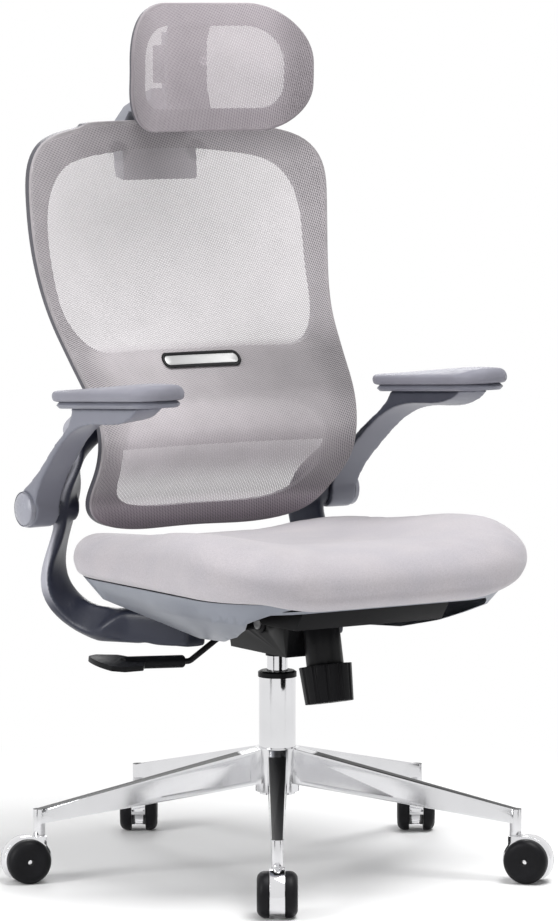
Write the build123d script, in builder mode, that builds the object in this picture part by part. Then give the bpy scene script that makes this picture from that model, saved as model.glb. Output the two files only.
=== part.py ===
from build123d import *
import os
from math import atan2, cos, degrees, radians, sin, tan

os.makedirs("parts", exist_ok=True)

# High-back office chair. Millimetres, +Z up, the sitter faces -Y.
# The origin is on the floor, under the axis of the gas column.

# ---------------------------------------------------------------- driving dimensions
running_clearance = 0.06        # radial gap of a turning or sliding fit
contact_gap = 0.05              # between faces bolted together over a curved joint
soft_clearance = 0.3            # gap round upholstery and between panels that move
plate_clearance = 0.5           # gap beside a plate that turns past another

# casters and base
leg_count = 5
front_leg_heading = 237.0       # degrees from +X
wheel_diameter = 60.0
wheel_width = 16.0
wheel_gap = 20.0
wheel_bore = 8.0
caster_trail = 18.0
caster_headings = [237.0, 309.0, 57.0, 57.0, 165.0]
fork_overhang = 3.0             # the fork's fender stands this far outside the wheels
fork_floor_gap = 9.0
stem_diameter = 11.0
stem_circle = 335.0
stem_collar_height = 2.0
stem_insert = 22.0
stem_in_fork = 18.0
leg_boss_radius = 8.0
leg_boss_drop = 15.0
leg_end_depth = 19.0
leg_hub_depth = 48.0
leg_end_width = 16.0
leg_hub_width = 27.0
leg_wall = 3.5
leg_pocket_length = 125.0
leg_pocket_depth = 1.2
hub_radius = 30.0
hub_height = 60.0
hub_top = 166.0

# gas column
tube_diameter = 50.0
tube_wall = 1.6
tube_top = 267.0
tube_taper = 1.0
collar_height = 5.0
collar_lip = 1.2
cylinder_diameter = 28.0
cylinder_wall = 2.0
cylinder_bottom = 122.0
cylinder_top = 328.0
guide_length = 58.0
rod_diameter = 8.0
piston_height = 8.0
piston_level = 226.0
bearing_height = 6.0
bearing_diameter = 26.0
clip_height = 2.0
valve_button_diameter = 9.0
valve_button_height = 6.5
sleeve_length = 9.0
sleeve_wall = 2.0

# tilt mechanism
housing_bottom = 300.0
housing_top = 354.0
housing_width = 96.0
housing_front = -92.0
housing_rear = 62.0
housing_wall = 3.0
housing_relief_angle = 18.0
housing_draft = 8.0
socket_wall = 5.0
socket_height = 20.0
spindle_y = -34.0
spindle_z = 342.0
spindle_diameter = 12.0
plate_bottom = 360.0
plate_thickness = 4.0
plate_half_width = 160.0
plate_front = -128.0
plate_rear = 105.0
flange_thickness = 4.0
flange_radius = 14.0
knob_axis_y = -104.0            # where the spring axis crosses the housing's top
knob_tilt = 12.0
sleeve_radius = 25.0
sleeve_drop = 64.0
spring_sleeve_wall = 3.0
spring_floor = 4.0
knob_radius = 35.5
knob_height = 50.0
knob_flutes = 12
spring_radius = 17.0
spring_wire = 5.0
spring_turns = 5
bolt_diameter = 10.0

# height lever
lever_diameter = 8.0
lever_pivot_x = -51.0
lever_pivot_z = 339.0
lever_tip_x = 5.0
lever_fall_x = -66.0            # the rod bends down here and levels out again below
lever_low_x = -140.0
lever_low_z = 293.4
bush_half_length = 6.0
bush_half_width = 8.0
bush_half_height = 7.0
trunnion_diameter = 6.0
lug_thickness = 4.5
grip_diameter = 17.0
grip_start = 150.0
grip_end = 246.0
paddle_half_width = 39.0
paddle_thickness = 7.0
paddle_start = 214.0
paddle_end = 282.0
paddle_rise = 5.6               # how much the grip climbs toward its outer end
paddle_pitch = 6.0              # the paddle's front edge is lower by this angle

# seat
seat_half_width = 250.0
seat_front = -290.0
seat_rear = 200.0
seat_front_corner = 124.0
seat_rear_corner = 110.0
cushion_bottom = 400.0
cushion_front_top = 462.0
cushion_rear_top = 446.0
cushion_top_radius = 27.0
cushion_bottom_radius = 20.0
board_thickness = 12.0
board_inset = 46.0
shell_wall = 3.0
shell_ledge = 12.0
ledge_thickness = 4.0
shell_rim_setback = 14.0        # how far the shell's rim lies inside the cushion's outline
shell_crease_setback = (32.0, 40.0, 42.0)  # the same for its crease: at the sides, front and rear
# half-width, front, rear, corner radius at the front and at the rear
shell_rim = (seat_half_width - shell_rim_setback, seat_front + shell_rim_setback,
             seat_rear - shell_rim_setback, 112, 96)
shell_crease = (seat_half_width - shell_crease_setback[0], seat_front + shell_crease_setback[1],
                seat_rear - shell_crease_setback[2], 98, 84)
shell_base = (128, -150, 22, 50, 50)
shell_crease_level = 371.0
shell_base_level = 322.0
# lower edge of the shell seen from the side, front to rear
shell_edge = [(-300, 404), (-262, 391), (-192, 359), (-150, 344), (-90, 330), (-15, 325), (8, 330),
              (24, 345), (64, 344), (110, 357), (125, 370), (200, 374)]
shell_gate = 62.0               # half-width of the slot that passes the tilt mechanism
board_front_gap = 30.0
board_corner = 78.0
pan_wall = 3.0
pan_half_width = 116.0
# the pan seen from the side: underside from the rear to the front lip
pan_line = [(96, 364), (-130, 364), (-142, 357), (-222, 357), (-244, 388)]
board_bolt_spots = [(-92, -92), (-92, 62), (92, -92), (92, 62)]
board_bolt_diameter = 6.0

# side bars
# centre, direction of the width, width and thickness of the left bar's sections, top to front
bar_stations = [((-186, 159.5, 624), (0.96, 0.27, 0), 34, 15),
                ((-205, 170, 566), (0.75, 0.66, 0), 34, 16),
                ((-202, 206, 518), (0.71, 0.71, 0), 43, 17),
                ((-197, 230, 472), (0.71, 0.71, 0), 51, 18),
                ((-207, 234, 428), (0.71, 0.71, 0), 51, 17),
                ((-216, 226, 388), (0.85, 0.42, 0), 49, 18),
                ((-209, 196, 350), (0.62, 0.42, 0.66), 46, 18),
                ((-190, 154, 332), (0.5, 0.1, 0.75), 46, 22),
                ((-164, 114, 330), (0, 0, 1), 46, 27)]
bar_tongue_end = (-107, 23, 330)  # the straight tongue of the bar runs to here under the seat
bar_edge_radius = 5.0
bar_end_y = 29.0
bar_pad_depth = 15.0
bar_bolt_diameter = 8.0
bar_bolt_head = 14.0

# back
sagitta = 42.0                  # how far the sides of the back wrap forward
back_half_width = 241.0
# distance behind the column of the mesh's middle line, by height
back_stations = [(436, 241), (482, 201), (526, 166), (570, 144), (612, 149), (652, 173), (700, 212),
                 (752, 248), (806, 269), (860, 280), (912, 285), (966, 289), (1020, 291)]
# half-widths of the back's outline by height, from the bottom's middle to the top's middle
back_outline = [(0, 449), (125, 452), (182, 476), (200, 518), (205, 580), (214.5, 660), (225, 738),
                (236, 820), (241, 900), (234, 954), (212, 980), (146, 999), (0, 1008)]
upper_opening = [(0, 694), (110, 695), (176, 704), (202, 740), (209, 790), (211, 850), (204, 905),
                 (176, 944), (110, 962), (0, 969)]
lower_opening = [(0, 480), (95, 482), (146, 500), (164, 545), (162, 590), (138, 616), (75, 626), (0, 628)]
mesh_thickness = 1.5
back_frame_thickness = 13.5
bridge_thickness = 10.0
bridge_bottom = 566.0
bridge_top = 674.0
bridge_half_width = 198.0
bridge_corner = 24.0
screw_spots = [-120, -60, 60, 120]
screw_station = 5               # the back station at whose height the screws sit
screw_diameter = 5.0
screw_length = 16.0
screw_head = 4.0
trim_level = 681.0
trim_length = 126.0
trim_height = 20.0
trim_rim = 3.5
trim_stand = 4.0

# arms
arm_pivot_y = 226.0
arm_pivot_z = 485.0
arm_pivot_x = 224.0             # inner face of the arm's drum
arm_drum_length = 40.0
arm_drum_radius = 26.0
arm_sweep_below = 13.0            # how far under the pivot the arm's blade swings
arm_toe = 5.0                   # the flip axis points this many degrees forward
arm_thickness = 46.0
arm_lean = 6.6
arm_bolt_diameter = 12.0
cap_height = 5.0
pad_x = 258.0
pad_y = -12.0
pad_level = 640.0
pad_length = 256.0
pad_width = 82.0
pad_height = 24.0
pad_corner = 36.0
pad_tilt = 4.0
pad_plate_height = 9.0
pad_plate_inset = 6.0
pad_edge_radius = 6.0
# the arm seen from the side: underside from the drum to the front, then the rear edge back down
arm_under = [(203, 474), (187, 516), (152, 552), (88, 600), (30, 618), (-75, 634), (-97, 650)]
arm_rear = [(70, 650), (76, 628), (125, 586), (171, 550), (236, 509)]
arm_drum_groove = 1.5

# headrest
neck_half_width = 60.0
neck_top_half_width = 30.0
post_half_width = 15.0
post_front = 262.0
post_thickness = 10.0
post_top = 1130.0
post_root = 1012.0
headrest_half_width = 145.0
headrest_bottom = 996.0
headrest_top = 1169.0
headrest_sagitta = 46.0
# distance behind the column of the headrest's middle line, by height
headrest_stations = [(982, 190), (1032, 180), (1082, 176), (1132, 180), (1182, 190)]
headrest_top_corner = 80.0
headrest_bottom_corner = 62.0
headrest_frame_thickness = 10.0
headrest_band = 30.0
headrest_pivot_y = 248.0
headrest_pivot_z = 1085.0
headrest_pin_diameter = 8.0
strap_half_width = 32.0
strap_thickness = 8.0
# the strap behind the headrest seen from the side, top to bottom
strap_line = [(189, 1153), (226, 1143), (236, 1118), (236, 1052), (226, 1026), (189, 1014)]
ear_thickness = 8.0
ear_radius = 7.0
lug_half_width = 13.5
slider_half_width = 26.0
slider_front = 256.0
slider_depth = 24.0
slider_bottom = 1060.0
slider_height = 52.0
# the bracket seen from the side
neck_line = [(300, 925), (322, 930), (331, 985), (332, 1004), (324, 1027), (275, 1053), (262, 1040),
             (285, 1008), (292, 985)]
neck_shoulder = 1000.0
neck_top = 1053.0


def finish(piece, name):
    """Label a finished piece and write its file."""
    piece.part.label = name
    export_step(piece.part, "parts/" + name + ".step")


def on_circle(radius, heading):
    return (radius * cos(radians(heading)), radius * sin(radians(heading)))


# ================================================================ star base
leg_headings = [front_leg_heading + 360 / leg_count * i for i in range(leg_count)]
fork_top = wheel_diameter + fork_overhang - 1.0
leg_boss_bottom = fork_top + stem_collar_height
leg_end_bottom = leg_boss_bottom + leg_boss_drop
leg_end_top = leg_end_bottom + leg_end_depth
leg_root = hub_radius * 0.8
leg_hub_bottom = hub_top - leg_hub_depth
hub_bottom = hub_top - hub_height
tube_radius = tube_diameter / 2
tube_foot = hub_bottom - 4.0


def leg_section(distance, bottom, top, width):
    with BuildSketch(Plane(origin=(distance, 0, bottom), x_dir=(0, 1, 0), z_dir=(1, 0, 0))) as section:
        with BuildLine():
            Polyline((-width / 2, 0), (-width / 2 + 1.0, top - bottom), (width / 2 - 1.0, top - bottom),
                     (width / 2, 0), close=True)
        make_face()
    return section.sketch


def leg_height(distance, at_hub, at_end):
    share = (distance - leg_root) / (stem_circle - leg_root)
    return at_hub + (at_end - at_hub) * share


with BuildPart() as leg_core:
    loft([leg_section(leg_root, leg_hub_bottom - 1, hub_top - leg_wall, leg_hub_width - 2 * leg_wall),
          leg_section(stem_circle - leg_boss_radius - 3, leg_end_bottom - 1, leg_end_top - leg_wall,
                      leg_end_width - 2 * leg_wall)], ruled=True)

pocket_start = hub_radius + 12
pocket_end = pocket_start + leg_pocket_length
pocket_rim = 6.0
with BuildPart() as leg_pocket:
    with BuildSketch(Plane.XZ):
        with BuildLine():
            Polyline(
                (pocket_start, leg_height(pocket_start, hub_top, leg_end_top) - pocket_rim),
                (pocket_end, leg_height(pocket_end, leg_hub_bottom, leg_end_bottom) + 1.6 * pocket_rim),
                (pocket_end, leg_height(pocket_end, leg_hub_bottom, leg_end_bottom) + pocket_rim),
                (pocket_start, leg_height(pocket_start, leg_hub_bottom, leg_end_bottom) + pocket_rim),
                close=True)
        make_face()
    extrude(amount=leg_hub_width, both=True)
    loft([leg_section(leg_root, leg_hub_bottom, hub_top, leg_hub_width - 2 * leg_pocket_depth),
          leg_section(stem_circle, leg_end_bottom, leg_end_top, leg_end_width - 2 * leg_pocket_depth)],
         ruled=True, mode=Mode.SUBTRACT)

with BuildPart() as leg_form:
    loft([leg_section(leg_root, leg_hub_bottom, hub_top, leg_hub_width),
          leg_section(stem_circle, leg_end_bottom, leg_end_top, leg_end_width)], ruled=True)
    with BuildSketch(Plane.XY.offset(leg_boss_bottom)):
        with Locations((stem_circle, 0)):
            Circle(leg_boss_radius)
    extrude(amount=leg_end_top - leg_boss_bottom)
    add(leg_core.part, mode=Mode.SUBTRACT)
    add(leg_pocket.part, mode=Mode.SUBTRACT)
    with BuildSketch(Plane.XY.offset(leg_boss_bottom)):
        with Locations((stem_circle, 0)):
            Circle(stem_diameter / 2)
    extrude(amount=stem_insert, mode=Mode.SUBTRACT)

with BuildPart() as star_base:
    with BuildSketch(Plane.XY.offset(hub_bottom)):
        Circle(hub_radius)
    extrude(amount=hub_height)
    with PolarLocations(0, leg_count, start_angle=front_leg_heading):
        add(leg_form.part)
    with BuildSketch(Plane.XY.offset(hub_bottom)):
        Circle(tube_radius - tube_taper)
    with BuildSketch(Plane.XY.offset(hub_top)):
        Circle(tube_radius)
    loft(ruled=True, mode=Mode.SUBTRACT)
finish(star_base, "star_base")

with BuildPart() as caster_stems:
    for heading in leg_headings:
        with BuildSketch(Plane.XY.offset(fork_top - stem_in_fork)):
            with Locations(on_circle(stem_circle, heading)):
                Circle(stem_diameter / 2)
        extrude(amount=stem_in_fork + stem_collar_height + stem_insert)
        with BuildSketch(Plane.XY.offset(fork_top)):
            with Locations(on_circle(stem_circle, heading)):
                Circle(leg_boss_radius)
        extrude(amount=stem_collar_height)
finish(caster_stems, "caster_stems")

# ================================================================ twin-wheel casters
axle_level = wheel_diameter / 2
wheel_radius = wheel_diameter / 2
fender_radius = wheel_radius + fork_overhang
fork_half_width = wheel_gap / 2 - soft_clearance
axle_half_length = wheel_gap / 2 + wheel_width - 4.0


def make_caster(number, stem_heading, trail_heading):
    stem_x, stem_y = on_circle(stem_circle, stem_heading)
    along = Vector(*on_circle(1, trail_heading), 0)
    side_plane = Plane(origin=(stem_x, stem_y, 0), x_dir=along, z_dir=along.cross(Vector(0, 0, 1)))
    name = f"caster_{number}"

    with BuildPart() as fork:
        with BuildSketch(side_plane):
            with Locations((caster_trail, axle_level)):
                Circle(fender_radius)
            with Locations((0, fork_top)):
                Rectangle(2 * leg_boss_radius, 2 * stem_in_fork, align=(Align.CENTER, Align.MAX))
            with Locations((caster_trail, 0)):
                Rectangle(4 * wheel_radius, 2 * fork_floor_gap, mode=Mode.SUBTRACT)
            with Locations((caster_trail - wheel_radius * 0.72, axle_level - wheel_radius * 0.45)):
                Circle(wheel_radius * 0.52, mode=Mode.SUBTRACT)
        extrude(amount=fork_half_width, both=True)
        with BuildSketch(side_plane):
            with Locations((caster_trail, axle_level)):
                Circle(wheel_bore / 2 - running_clearance)
        extrude(amount=axle_half_length, both=True)
        with BuildSketch(Plane.XY.offset(fork_top - stem_in_fork)):
            with Locations((stem_x, stem_y)):
                Circle(stem_diameter / 2 + running_clearance)
        extrude(amount=2 * stem_in_fork, mode=Mode.SUBTRACT)
    finish(fork, name + "_fork")

    for letter, side in (("a", 1), ("b", -1)):
        axle_plane = Plane(origin=side_plane.from_local_coords((caster_trail, axle_level, 0)),
                           x_dir=(0, 0, 1), z_dir=along)
        inner = side * wheel_gap / 2
        outer = side * (wheel_gap / 2 + wheel_width)
        with BuildPart() as wheel:
            with BuildSketch(axle_plane):
                with BuildLine():
                    bore = Polyline((wheel_bore / 2, outer * 0.86), (wheel_bore / 2, inner),
                                    (wheel_radius - 1.0, inner), (wheel_radius, inner + side * 1.0))
                    rim = Line(bore @ 1, (wheel_radius, inner + side * wheel_width * 0.38))
                    dome = TangentArc(rim @ 1, (wheel_radius * 0.55, outer), tangent=(0, side))
                    Polyline(dome @ 1, (wheel_bore / 2, outer), bore @ 0)
                make_face()
            revolve(axis=Axis(side_plane.from_local_coords((caster_trail, axle_level, 0)), side_plane.z_dir))
        finish(wheel, name + "_wheel_" + letter)


for number, (stem_heading, trail_heading) in enumerate(zip(leg_headings, caster_headings), start=1):
    make_caster(number, stem_heading, trail_heading)

# ================================================================ gas column
cylinder_radius = cylinder_diameter / 2
tube_inner = tube_radius - tube_wall
floor_plate = tube_foot + 3.0

with BuildPart() as lift_outer_tube:
    with BuildSketch(Plane.XZ):
        with BuildLine():
            Polyline((rod_diameter / 2 + 1.0, tube_foot), (tube_radius - tube_taper, tube_foot),
                     (tube_radius - tube_taper, hub_bottom), (tube_radius, hub_top), (tube_radius, tube_top),
                     (tube_inner, tube_top), (tube_inner, hub_top), (tube_inner - tube_taper, hub_bottom),
                     (tube_inner - tube_taper, floor_plate),
                     (rod_diameter / 2 + 1.0, floor_plate), close=True)
        make_face()
    revolve(axis=Axis.Z)
finish(lift_outer_tube, "lift_outer_tube")

with BuildPart() as lift_collar:
    with BuildSketch(Plane.XZ):
        with BuildLine():
            Polyline((cylinder_radius + 0.5, tube_top), (tube_radius, tube_top),
                     (tube_radius, tube_top - collar_height),
                     (tube_radius + collar_lip, tube_top - collar_height),
                     (tube_radius + collar_lip, tube_top + 1.5), (tube_radius - 2, tube_top + 3.5),
                     (cylinder_radius + 0.5, tube_top + 3.5), close=True)
        make_face()
    revolve(axis=Axis.Z)
finish(lift_collar, "lift_collar")

with BuildPart() as lift_guide_bush:
    with BuildSketch(Plane.XY.offset(tube_top - guide_length)):
        Circle(tube_inner)
        Circle(cylinder_radius + running_clearance, mode=Mode.SUBTRACT)
    extrude(amount=guide_length)
finish(lift_guide_bush, "lift_guide_bush")

with BuildPart() as lift_thrust_bearing:
    with BuildSketch(Plane.XY.offset(floor_plate)):
        Circle(bearing_diameter / 2)
        Circle(rod_diameter / 2 + running_clearance, mode=Mode.SUBTRACT)
    extrude(amount=bearing_height)
finish(lift_thrust_bearing, "lift_thrust_bearing")

with BuildPart() as lift_piston_rod:
    with BuildSketch(Plane.XY.offset(tube_foot - clip_height)):
        Circle(rod_diameter / 2)
    extrude(amount=piston_level - tube_foot + clip_height)
    with BuildSketch(Plane.XY.offset(tube_foot - clip_height)):
        Circle(rod_diameter / 2 + 4.0)
    extrude(amount=clip_height)
    with BuildSketch(Plane.XY.offset(floor_plate + bearing_height)):
        Circle(rod_diameter / 2 + 4.0)
    extrude(amount=clip_height)
    with BuildSketch(Plane.XY.offset(piston_level)):
        Circle(cylinder_radius - cylinder_wall - running_clearance)
    extrude(amount=piston_height)
finish(lift_piston_rod, "lift_piston_rod")

with BuildPart() as lift_cylinder:
    with BuildSketch(Plane.XY.offset(cylinder_bottom)):
        Circle(cylinder_radius)
    extrude(amount=cylinder_top - cylinder_bottom)
    chamfer(lift_cylinder.edges().group_by(Axis.Z)[-1], 1.5)
    with BuildSketch(Plane.XY.offset(cylinder_bottom + 6)):
        Circle(cylinder_radius - cylinder_wall)
    extrude(amount=cylinder_top - cylinder_bottom - 12, mode=Mode.SUBTRACT)
    with BuildSketch(Plane.XY.offset(cylinder_bottom)):
        Circle(rod_diameter / 2 + running_clearance)
    extrude(amount=6, mode=Mode.SUBTRACT)
    with BuildSketch(Plane.XY.offset(cylinder_top - 6)):
        Circle(valve_button_diameter / 2 + running_clearance)
    extrude(amount=6, mode=Mode.SUBTRACT)
finish(lift_cylinder, "lift_cylinder")

button_top = lever_pivot_z - lever_diameter / 2 - 0.2
button_bottom = button_top - valve_button_height - 6
with BuildPart() as valve_button:
    with BuildSketch(Plane.XY.offset(button_bottom)):
        Circle(valve_button_diameter / 2)
    extrude(amount=button_top - button_bottom)
    fillet(valve_button.edges().group_by(Axis.Z)[-1], 1.0)
finish(valve_button, "valve_button")

with BuildPart() as column_sleeve:
    with BuildSketch(Plane.XY.offset(housing_bottom - sleeve_length)):
        Circle(cylinder_radius + sleeve_wall)
        Circle(cylinder_radius, mode=Mode.SUBTRACT)
    extrude(amount=sleeve_length)
finish(column_sleeve, "column_sleeve")

# ================================================================ tilt mechanism
housing_half = housing_width / 2
housing_middle = (housing_front + housing_rear) / 2
housing_length = housing_rear - housing_front
relief_start = spindle_y + 24.0
relief_end = housing_top - (housing_rear + 10 - relief_start) * tan(radians(housing_relief_angle))
plate_top = plate_bottom + plate_thickness
flange_inner = housing_half + plate_clearance
knob_plane = Plane(origin=(0, knob_axis_y, housing_top), x_dir=(1, 0, 0),
                   z_dir=(0, sin(radians(knob_tilt)), cos(radians(knob_tilt))))
knob_top = -sleeve_drop - plate_clearance
knob_bottom = knob_top - knob_height
bolt_head = 4.0

with BuildPart() as mech_housing:
    with BuildSketch(Plane.XY.offset(housing_top)):
        with Locations((0, housing_middle)):
            RectangleRounded(housing_width, housing_length, 9)
    extrude(amount=housing_bottom - housing_top, taper=housing_draft)
    with BuildSketch(Plane.XY.offset(housing_top)):
        with Locations((0, housing_middle)):
            RectangleRounded(housing_width - 2 * housing_wall, housing_length - 2 * housing_wall, 6)
    extrude(amount=housing_bottom + housing_wall - housing_top, taper=housing_draft, mode=Mode.SUBTRACT)
    with BuildSketch(knob_plane):
        Circle(sleeve_radius)
    extrude(amount=-sleeve_drop)
    with BuildSketch(knob_plane.offset(-sleeve_drop)):
        Circle(bolt_diameter / 2)
    extrude(amount=spring_floor, mode=Mode.SUBTRACT)
    with BuildSketch(knob_plane.offset(spring_floor - sleeve_drop)):
        Circle(sleeve_radius - spring_sleeve_wall)
    extrude(amount=2 * sleeve_drop, mode=Mode.SUBTRACT)
    with BuildSketch(Plane.XY.offset(housing_bottom)):
        Circle(cylinder_radius + socket_wall)
    extrude(amount=socket_height)
    with BuildSketch(Plane.XY.offset(housing_bottom)):
        Circle(cylinder_radius)
    extrude(amount=socket_height, mode=Mode.SUBTRACT)
    with BuildSketch(Plane.YZ):
        with BuildLine():
            Polyline((relief_start, housing_top), (housing_rear + 10, relief_end),
                     (housing_rear + 10, housing_top + 30), (-200, housing_top + 30), (-200, housing_top),
                     close=True)
        make_face()
    extrude(amount=housing_width, both=True, mode=Mode.SUBTRACT)
    with BuildSketch(Plane.YZ):
        with Locations((spindle_y, spindle_z)):
            Circle(spindle_diameter / 2)
    extrude(amount=housing_width, both=True, mode=Mode.SUBTRACT)
    window_half = bush_half_width + plate_clearance
    with Locations((lever_pivot_x, window_half + lug_thickness / 2, lever_pivot_z),
                   (lever_pivot_x, -window_half - lug_thickness / 2, lever_pivot_z)):
        Box(18, lug_thickness, 2 * bush_half_height + 2)
    with Locations((lever_pivot_x, 0, lever_pivot_z)):
        Box(24, 2 * window_half, 2 * bush_half_height + 4, mode=Mode.SUBTRACT)
    with BuildSketch(Plane.XZ):
        with Locations((lever_pivot_x, lever_pivot_z)):
            Circle(trunnion_diameter / 2 + running_clearance)
    extrude(amount=30, both=True, mode=Mode.SUBTRACT)
finish(mech_housing, "mech_housing")

spindle_half = flange_inner + flange_thickness + plate_clearance + 2
with BuildPart() as tilt_spindle:
    with BuildSketch(Plane.YZ):
        with Locations((spindle_y, spindle_z)):
            Circle(spindle_diameter / 2)
    extrude(amount=spindle_half, both=True)
    for side in (1, -1):
        with BuildSketch(Plane.YZ.offset(side * spindle_half)):
            with Locations((spindle_y, spindle_z)):
                Circle(spindle_diameter / 2 + 2)
        extrude(amount=-side * 2)
finish(tilt_spindle, "tilt_spindle")

with BuildPart() as tilt_plate:
    with BuildSketch(Plane.XY.offset(plate_bottom)):
        with Locations((0, (plate_front + plate_rear) / 2)):
            RectangleRounded(2 * plate_half_width, plate_rear - plate_front, 25)
    extrude(amount=plate_thickness)
    for side in (1, -1):
        with BuildSketch(Plane.YZ.offset(side * flange_inner)):
            with Locations((spindle_y, spindle_z)):
                Circle(flange_radius)
                Rectangle(2 * flange_radius, plate_bottom - spindle_z, align=(Align.CENTER, Align.MIN))
                Circle(spindle_diameter / 2 + running_clearance, mode=Mode.SUBTRACT)
        extrude(amount=side * flange_thickness)

spring_bottom = spring_floor - sleeve_drop
spring_length = -bolt_head - spring_bottom
coil_height = spring_length - spring_wire
with BuildPart() as coil:
    with BuildLine() as coil_path:
        Helix(pitch=coil_height / spring_turns, height=coil_height, radius=spring_radius)
    with BuildSketch(Plane(origin=coil_path.line @ 0, z_dir=coil_path.line % 0)):
        Circle(spring_wire / 2)
    sweep(path=coil_path.line, is_frenet=True)
with BuildPart() as tension_spring:
    with Locations(knob_plane.offset(spring_bottom + spring_wire / 2).location):
        add(coil.part)
finish(tension_spring, "tension_spring")

with BuildPart() as tension_bolt:
    with BuildSketch(knob_plane):
        Circle(spring_radius + spring_wire / 2)
    extrude(amount=-bolt_head)
    with BuildSketch(knob_plane):
        Circle(bolt_diameter / 2)
    extrude(amount=knob_bottom + 3)
    with BuildSketch(knob_plane.offset(knob_bottom + 3)):
        Circle(bolt_diameter / 2 + 3)
    extrude(amount=3)
finish(tension_bolt, "tension_bolt")


def knob_section(level, radius):
    with BuildSketch(knob_plane.offset(level)) as section:
        Circle(radius)
        with PolarLocations(radius + 1.6, knob_flutes):
            Circle(3.4, mode=Mode.SUBTRACT)
    return section.sketch


with BuildPart() as tension_knob:
    loft([knob_section(knob_bottom, knob_radius - 3), knob_section(knob_top, knob_radius)], ruled=True)
    with BuildSketch(knob_plane.offset(knob_bottom)):
        Circle(bolt_diameter / 2 + running_clearance)
    extrude(amount=knob_height, mode=Mode.SUBTRACT)
    with BuildSketch(knob_plane.offset(knob_bottom)):
        Circle(bolt_diameter / 2 + 4)
    extrude(amount=6 + plate_clearance, mode=Mode.SUBTRACT)
    with BuildSketch(knob_plane.offset(knob_top)):
        Circle(sleeve_radius - 2)
        Circle(bolt_diameter / 2 + 5, mode=Mode.SUBTRACT)
    extrude(amount=-4, mode=Mode.SUBTRACT)
finish(tension_knob, "tension_knob")

# ================================================================ height lever
lever_slope = atan2(paddle_rise, grip_end - abs(lever_low_x))
grip_plane = Plane(origin=(lever_low_x, 0, lever_low_z), x_dir=(0, 1, 0),
                   z_dir=(-cos(lever_slope), 0, sin(lever_slope)))
grip_offset = grip_start - abs(lever_low_x)
grip_length = (grip_end - grip_start) / cos(lever_slope)
rod_overlap = 50.0

with BuildPart() as lever_bush:
    with Locations((lever_pivot_x, 0, lever_pivot_z)):
        Box(2 * bush_half_length, 2 * bush_half_width, 2 * bush_half_height)
        fillet(lever_bush.edges().filter_by(Axis.Y), 2)
    with BuildSketch(Plane.XZ):
        with Locations((lever_pivot_x, lever_pivot_z)):
            Circle(trunnion_diameter / 2)
    extrude(amount=bush_half_width + plate_clearance + lug_thickness, both=True)
    with BuildSketch(Plane.YZ.offset(lever_pivot_x - bush_half_length)):
        with Locations((0, lever_pivot_z)):
            Circle(lever_diameter / 2 + running_clearance)
    extrude(amount=2 * bush_half_length, mode=Mode.SUBTRACT)
finish(lever_bush, "lever_bush")

with BuildPart() as lever_rod:
    with BuildLine() as rod_path:
        FilletPolyline((lever_tip_x, 0, lever_pivot_z), (lever_fall_x, 0, lever_pivot_z),
                       (lever_low_x, 0, lever_low_z),
                       grip_plane.from_local_coords((0, 0, grip_offset + rod_overlap)), radius=12)
    with BuildSketch(Plane(origin=(lever_tip_x, 0, lever_pivot_z), z_dir=(-1, 0, 0))):
        Circle(lever_diameter / 2)
    sweep(path=rod_path.line)
finish(lever_rod, "lever_rod")

paddle_middle = (paddle_start + paddle_end) / 2
paddle_width = paddle_end - paddle_start - 5
paddle_level = lever_low_z + (paddle_middle - abs(lever_low_x)) * tan(lever_slope)
paddle_plane = Plane(origin=(-paddle_middle, 0, paddle_level), x_dir=(1, 0, -tan(lever_slope)),
                     z_dir=(tan(lever_slope), -tan(radians(paddle_pitch)), 1))
with BuildPart() as lever_grip:
    with BuildSketch(grip_plane.offset(grip_offset)):
        Circle(grip_diameter / 2)
    extrude(amount=grip_length)
    fillet(lever_grip.edges().filter_by(GeomType.CIRCLE), 2.5)
    with BuildSketch(paddle_plane) as paddle_plan:
        with BuildLine():
            nose = ThreePointArc((-paddle_width / 2, -paddle_half_width * 0.8), (-paddle_width / 2 - 5, 0),
                                 (-paddle_width / 2, paddle_half_width * 0.8))
            Polyline(nose @ 1, (-paddle_width / 4, paddle_half_width),
                     (paddle_width / 4, paddle_half_width * 0.86),
                     (paddle_width / 2, paddle_half_width * 0.3),
                     (paddle_width / 2, -paddle_half_width * 0.3),
                     (paddle_width / 4, -paddle_half_width * 0.86), (-paddle_width / 4, -paddle_half_width),
                     nose @ 0)
        make_face()
        fillet(paddle_plan.vertices(), 5)
    extrude(amount=paddle_thickness / 2, both=True)
    with BuildSketch(grip_plane.offset(grip_offset)):
        Circle(lever_diameter / 2)
    extrude(amount=rod_overlap, mode=Mode.SUBTRACT)
finish(lever_grip, "lever_grip")

# ================================================================ back
def back_slab(front, rear):
    """The back's S-curved and wrapped sheet between two depths behind the mesh's face."""
    half = back_half_width + 12.0
    wrap = sagitta * (half / back_half_width) ** 2
    sections = []
    for level, middle in back_stations:
        with BuildSketch(Plane.XY.offset(level)) as section:
            with BuildLine():
                face = ThreePointArc((-half, middle - wrap + front), (0, middle + front),
                                     (half, middle - wrap + front))
                hind = ThreePointArc((half, middle - wrap + rear), (0, middle + rear),
                                     (-half, middle - wrap + rear))
                Line(face @ 1, hind @ 0)
                Line(hind @ 1, face @ 0)
            make_face()
        sections.append(section.sketch)
    with BuildPart() as slab:
        loft(sections)
    return slab.part


def front_outline(points):
    """A closed shape seen from the front, given by its right half."""
    with BuildSketch(Plane.XZ) as outline:
        with BuildLine():
            right = Spline(*points, tangents=((1, 0), (-1, 0)))
            left = mirror(right, about=Plane.YZ)
        make_face()
    return outline.sketch


def back_piece(front, rear, outline):
    with BuildPart() as piece:
        extrude(front_outline(outline), amount=400, both=True)
        add(back_slab(front, rear), mode=Mode.INTERSECT)
    return piece.part


frame_rear = mesh_thickness + back_frame_thickness
bridge_rear = frame_rear + bridge_thickness

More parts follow.
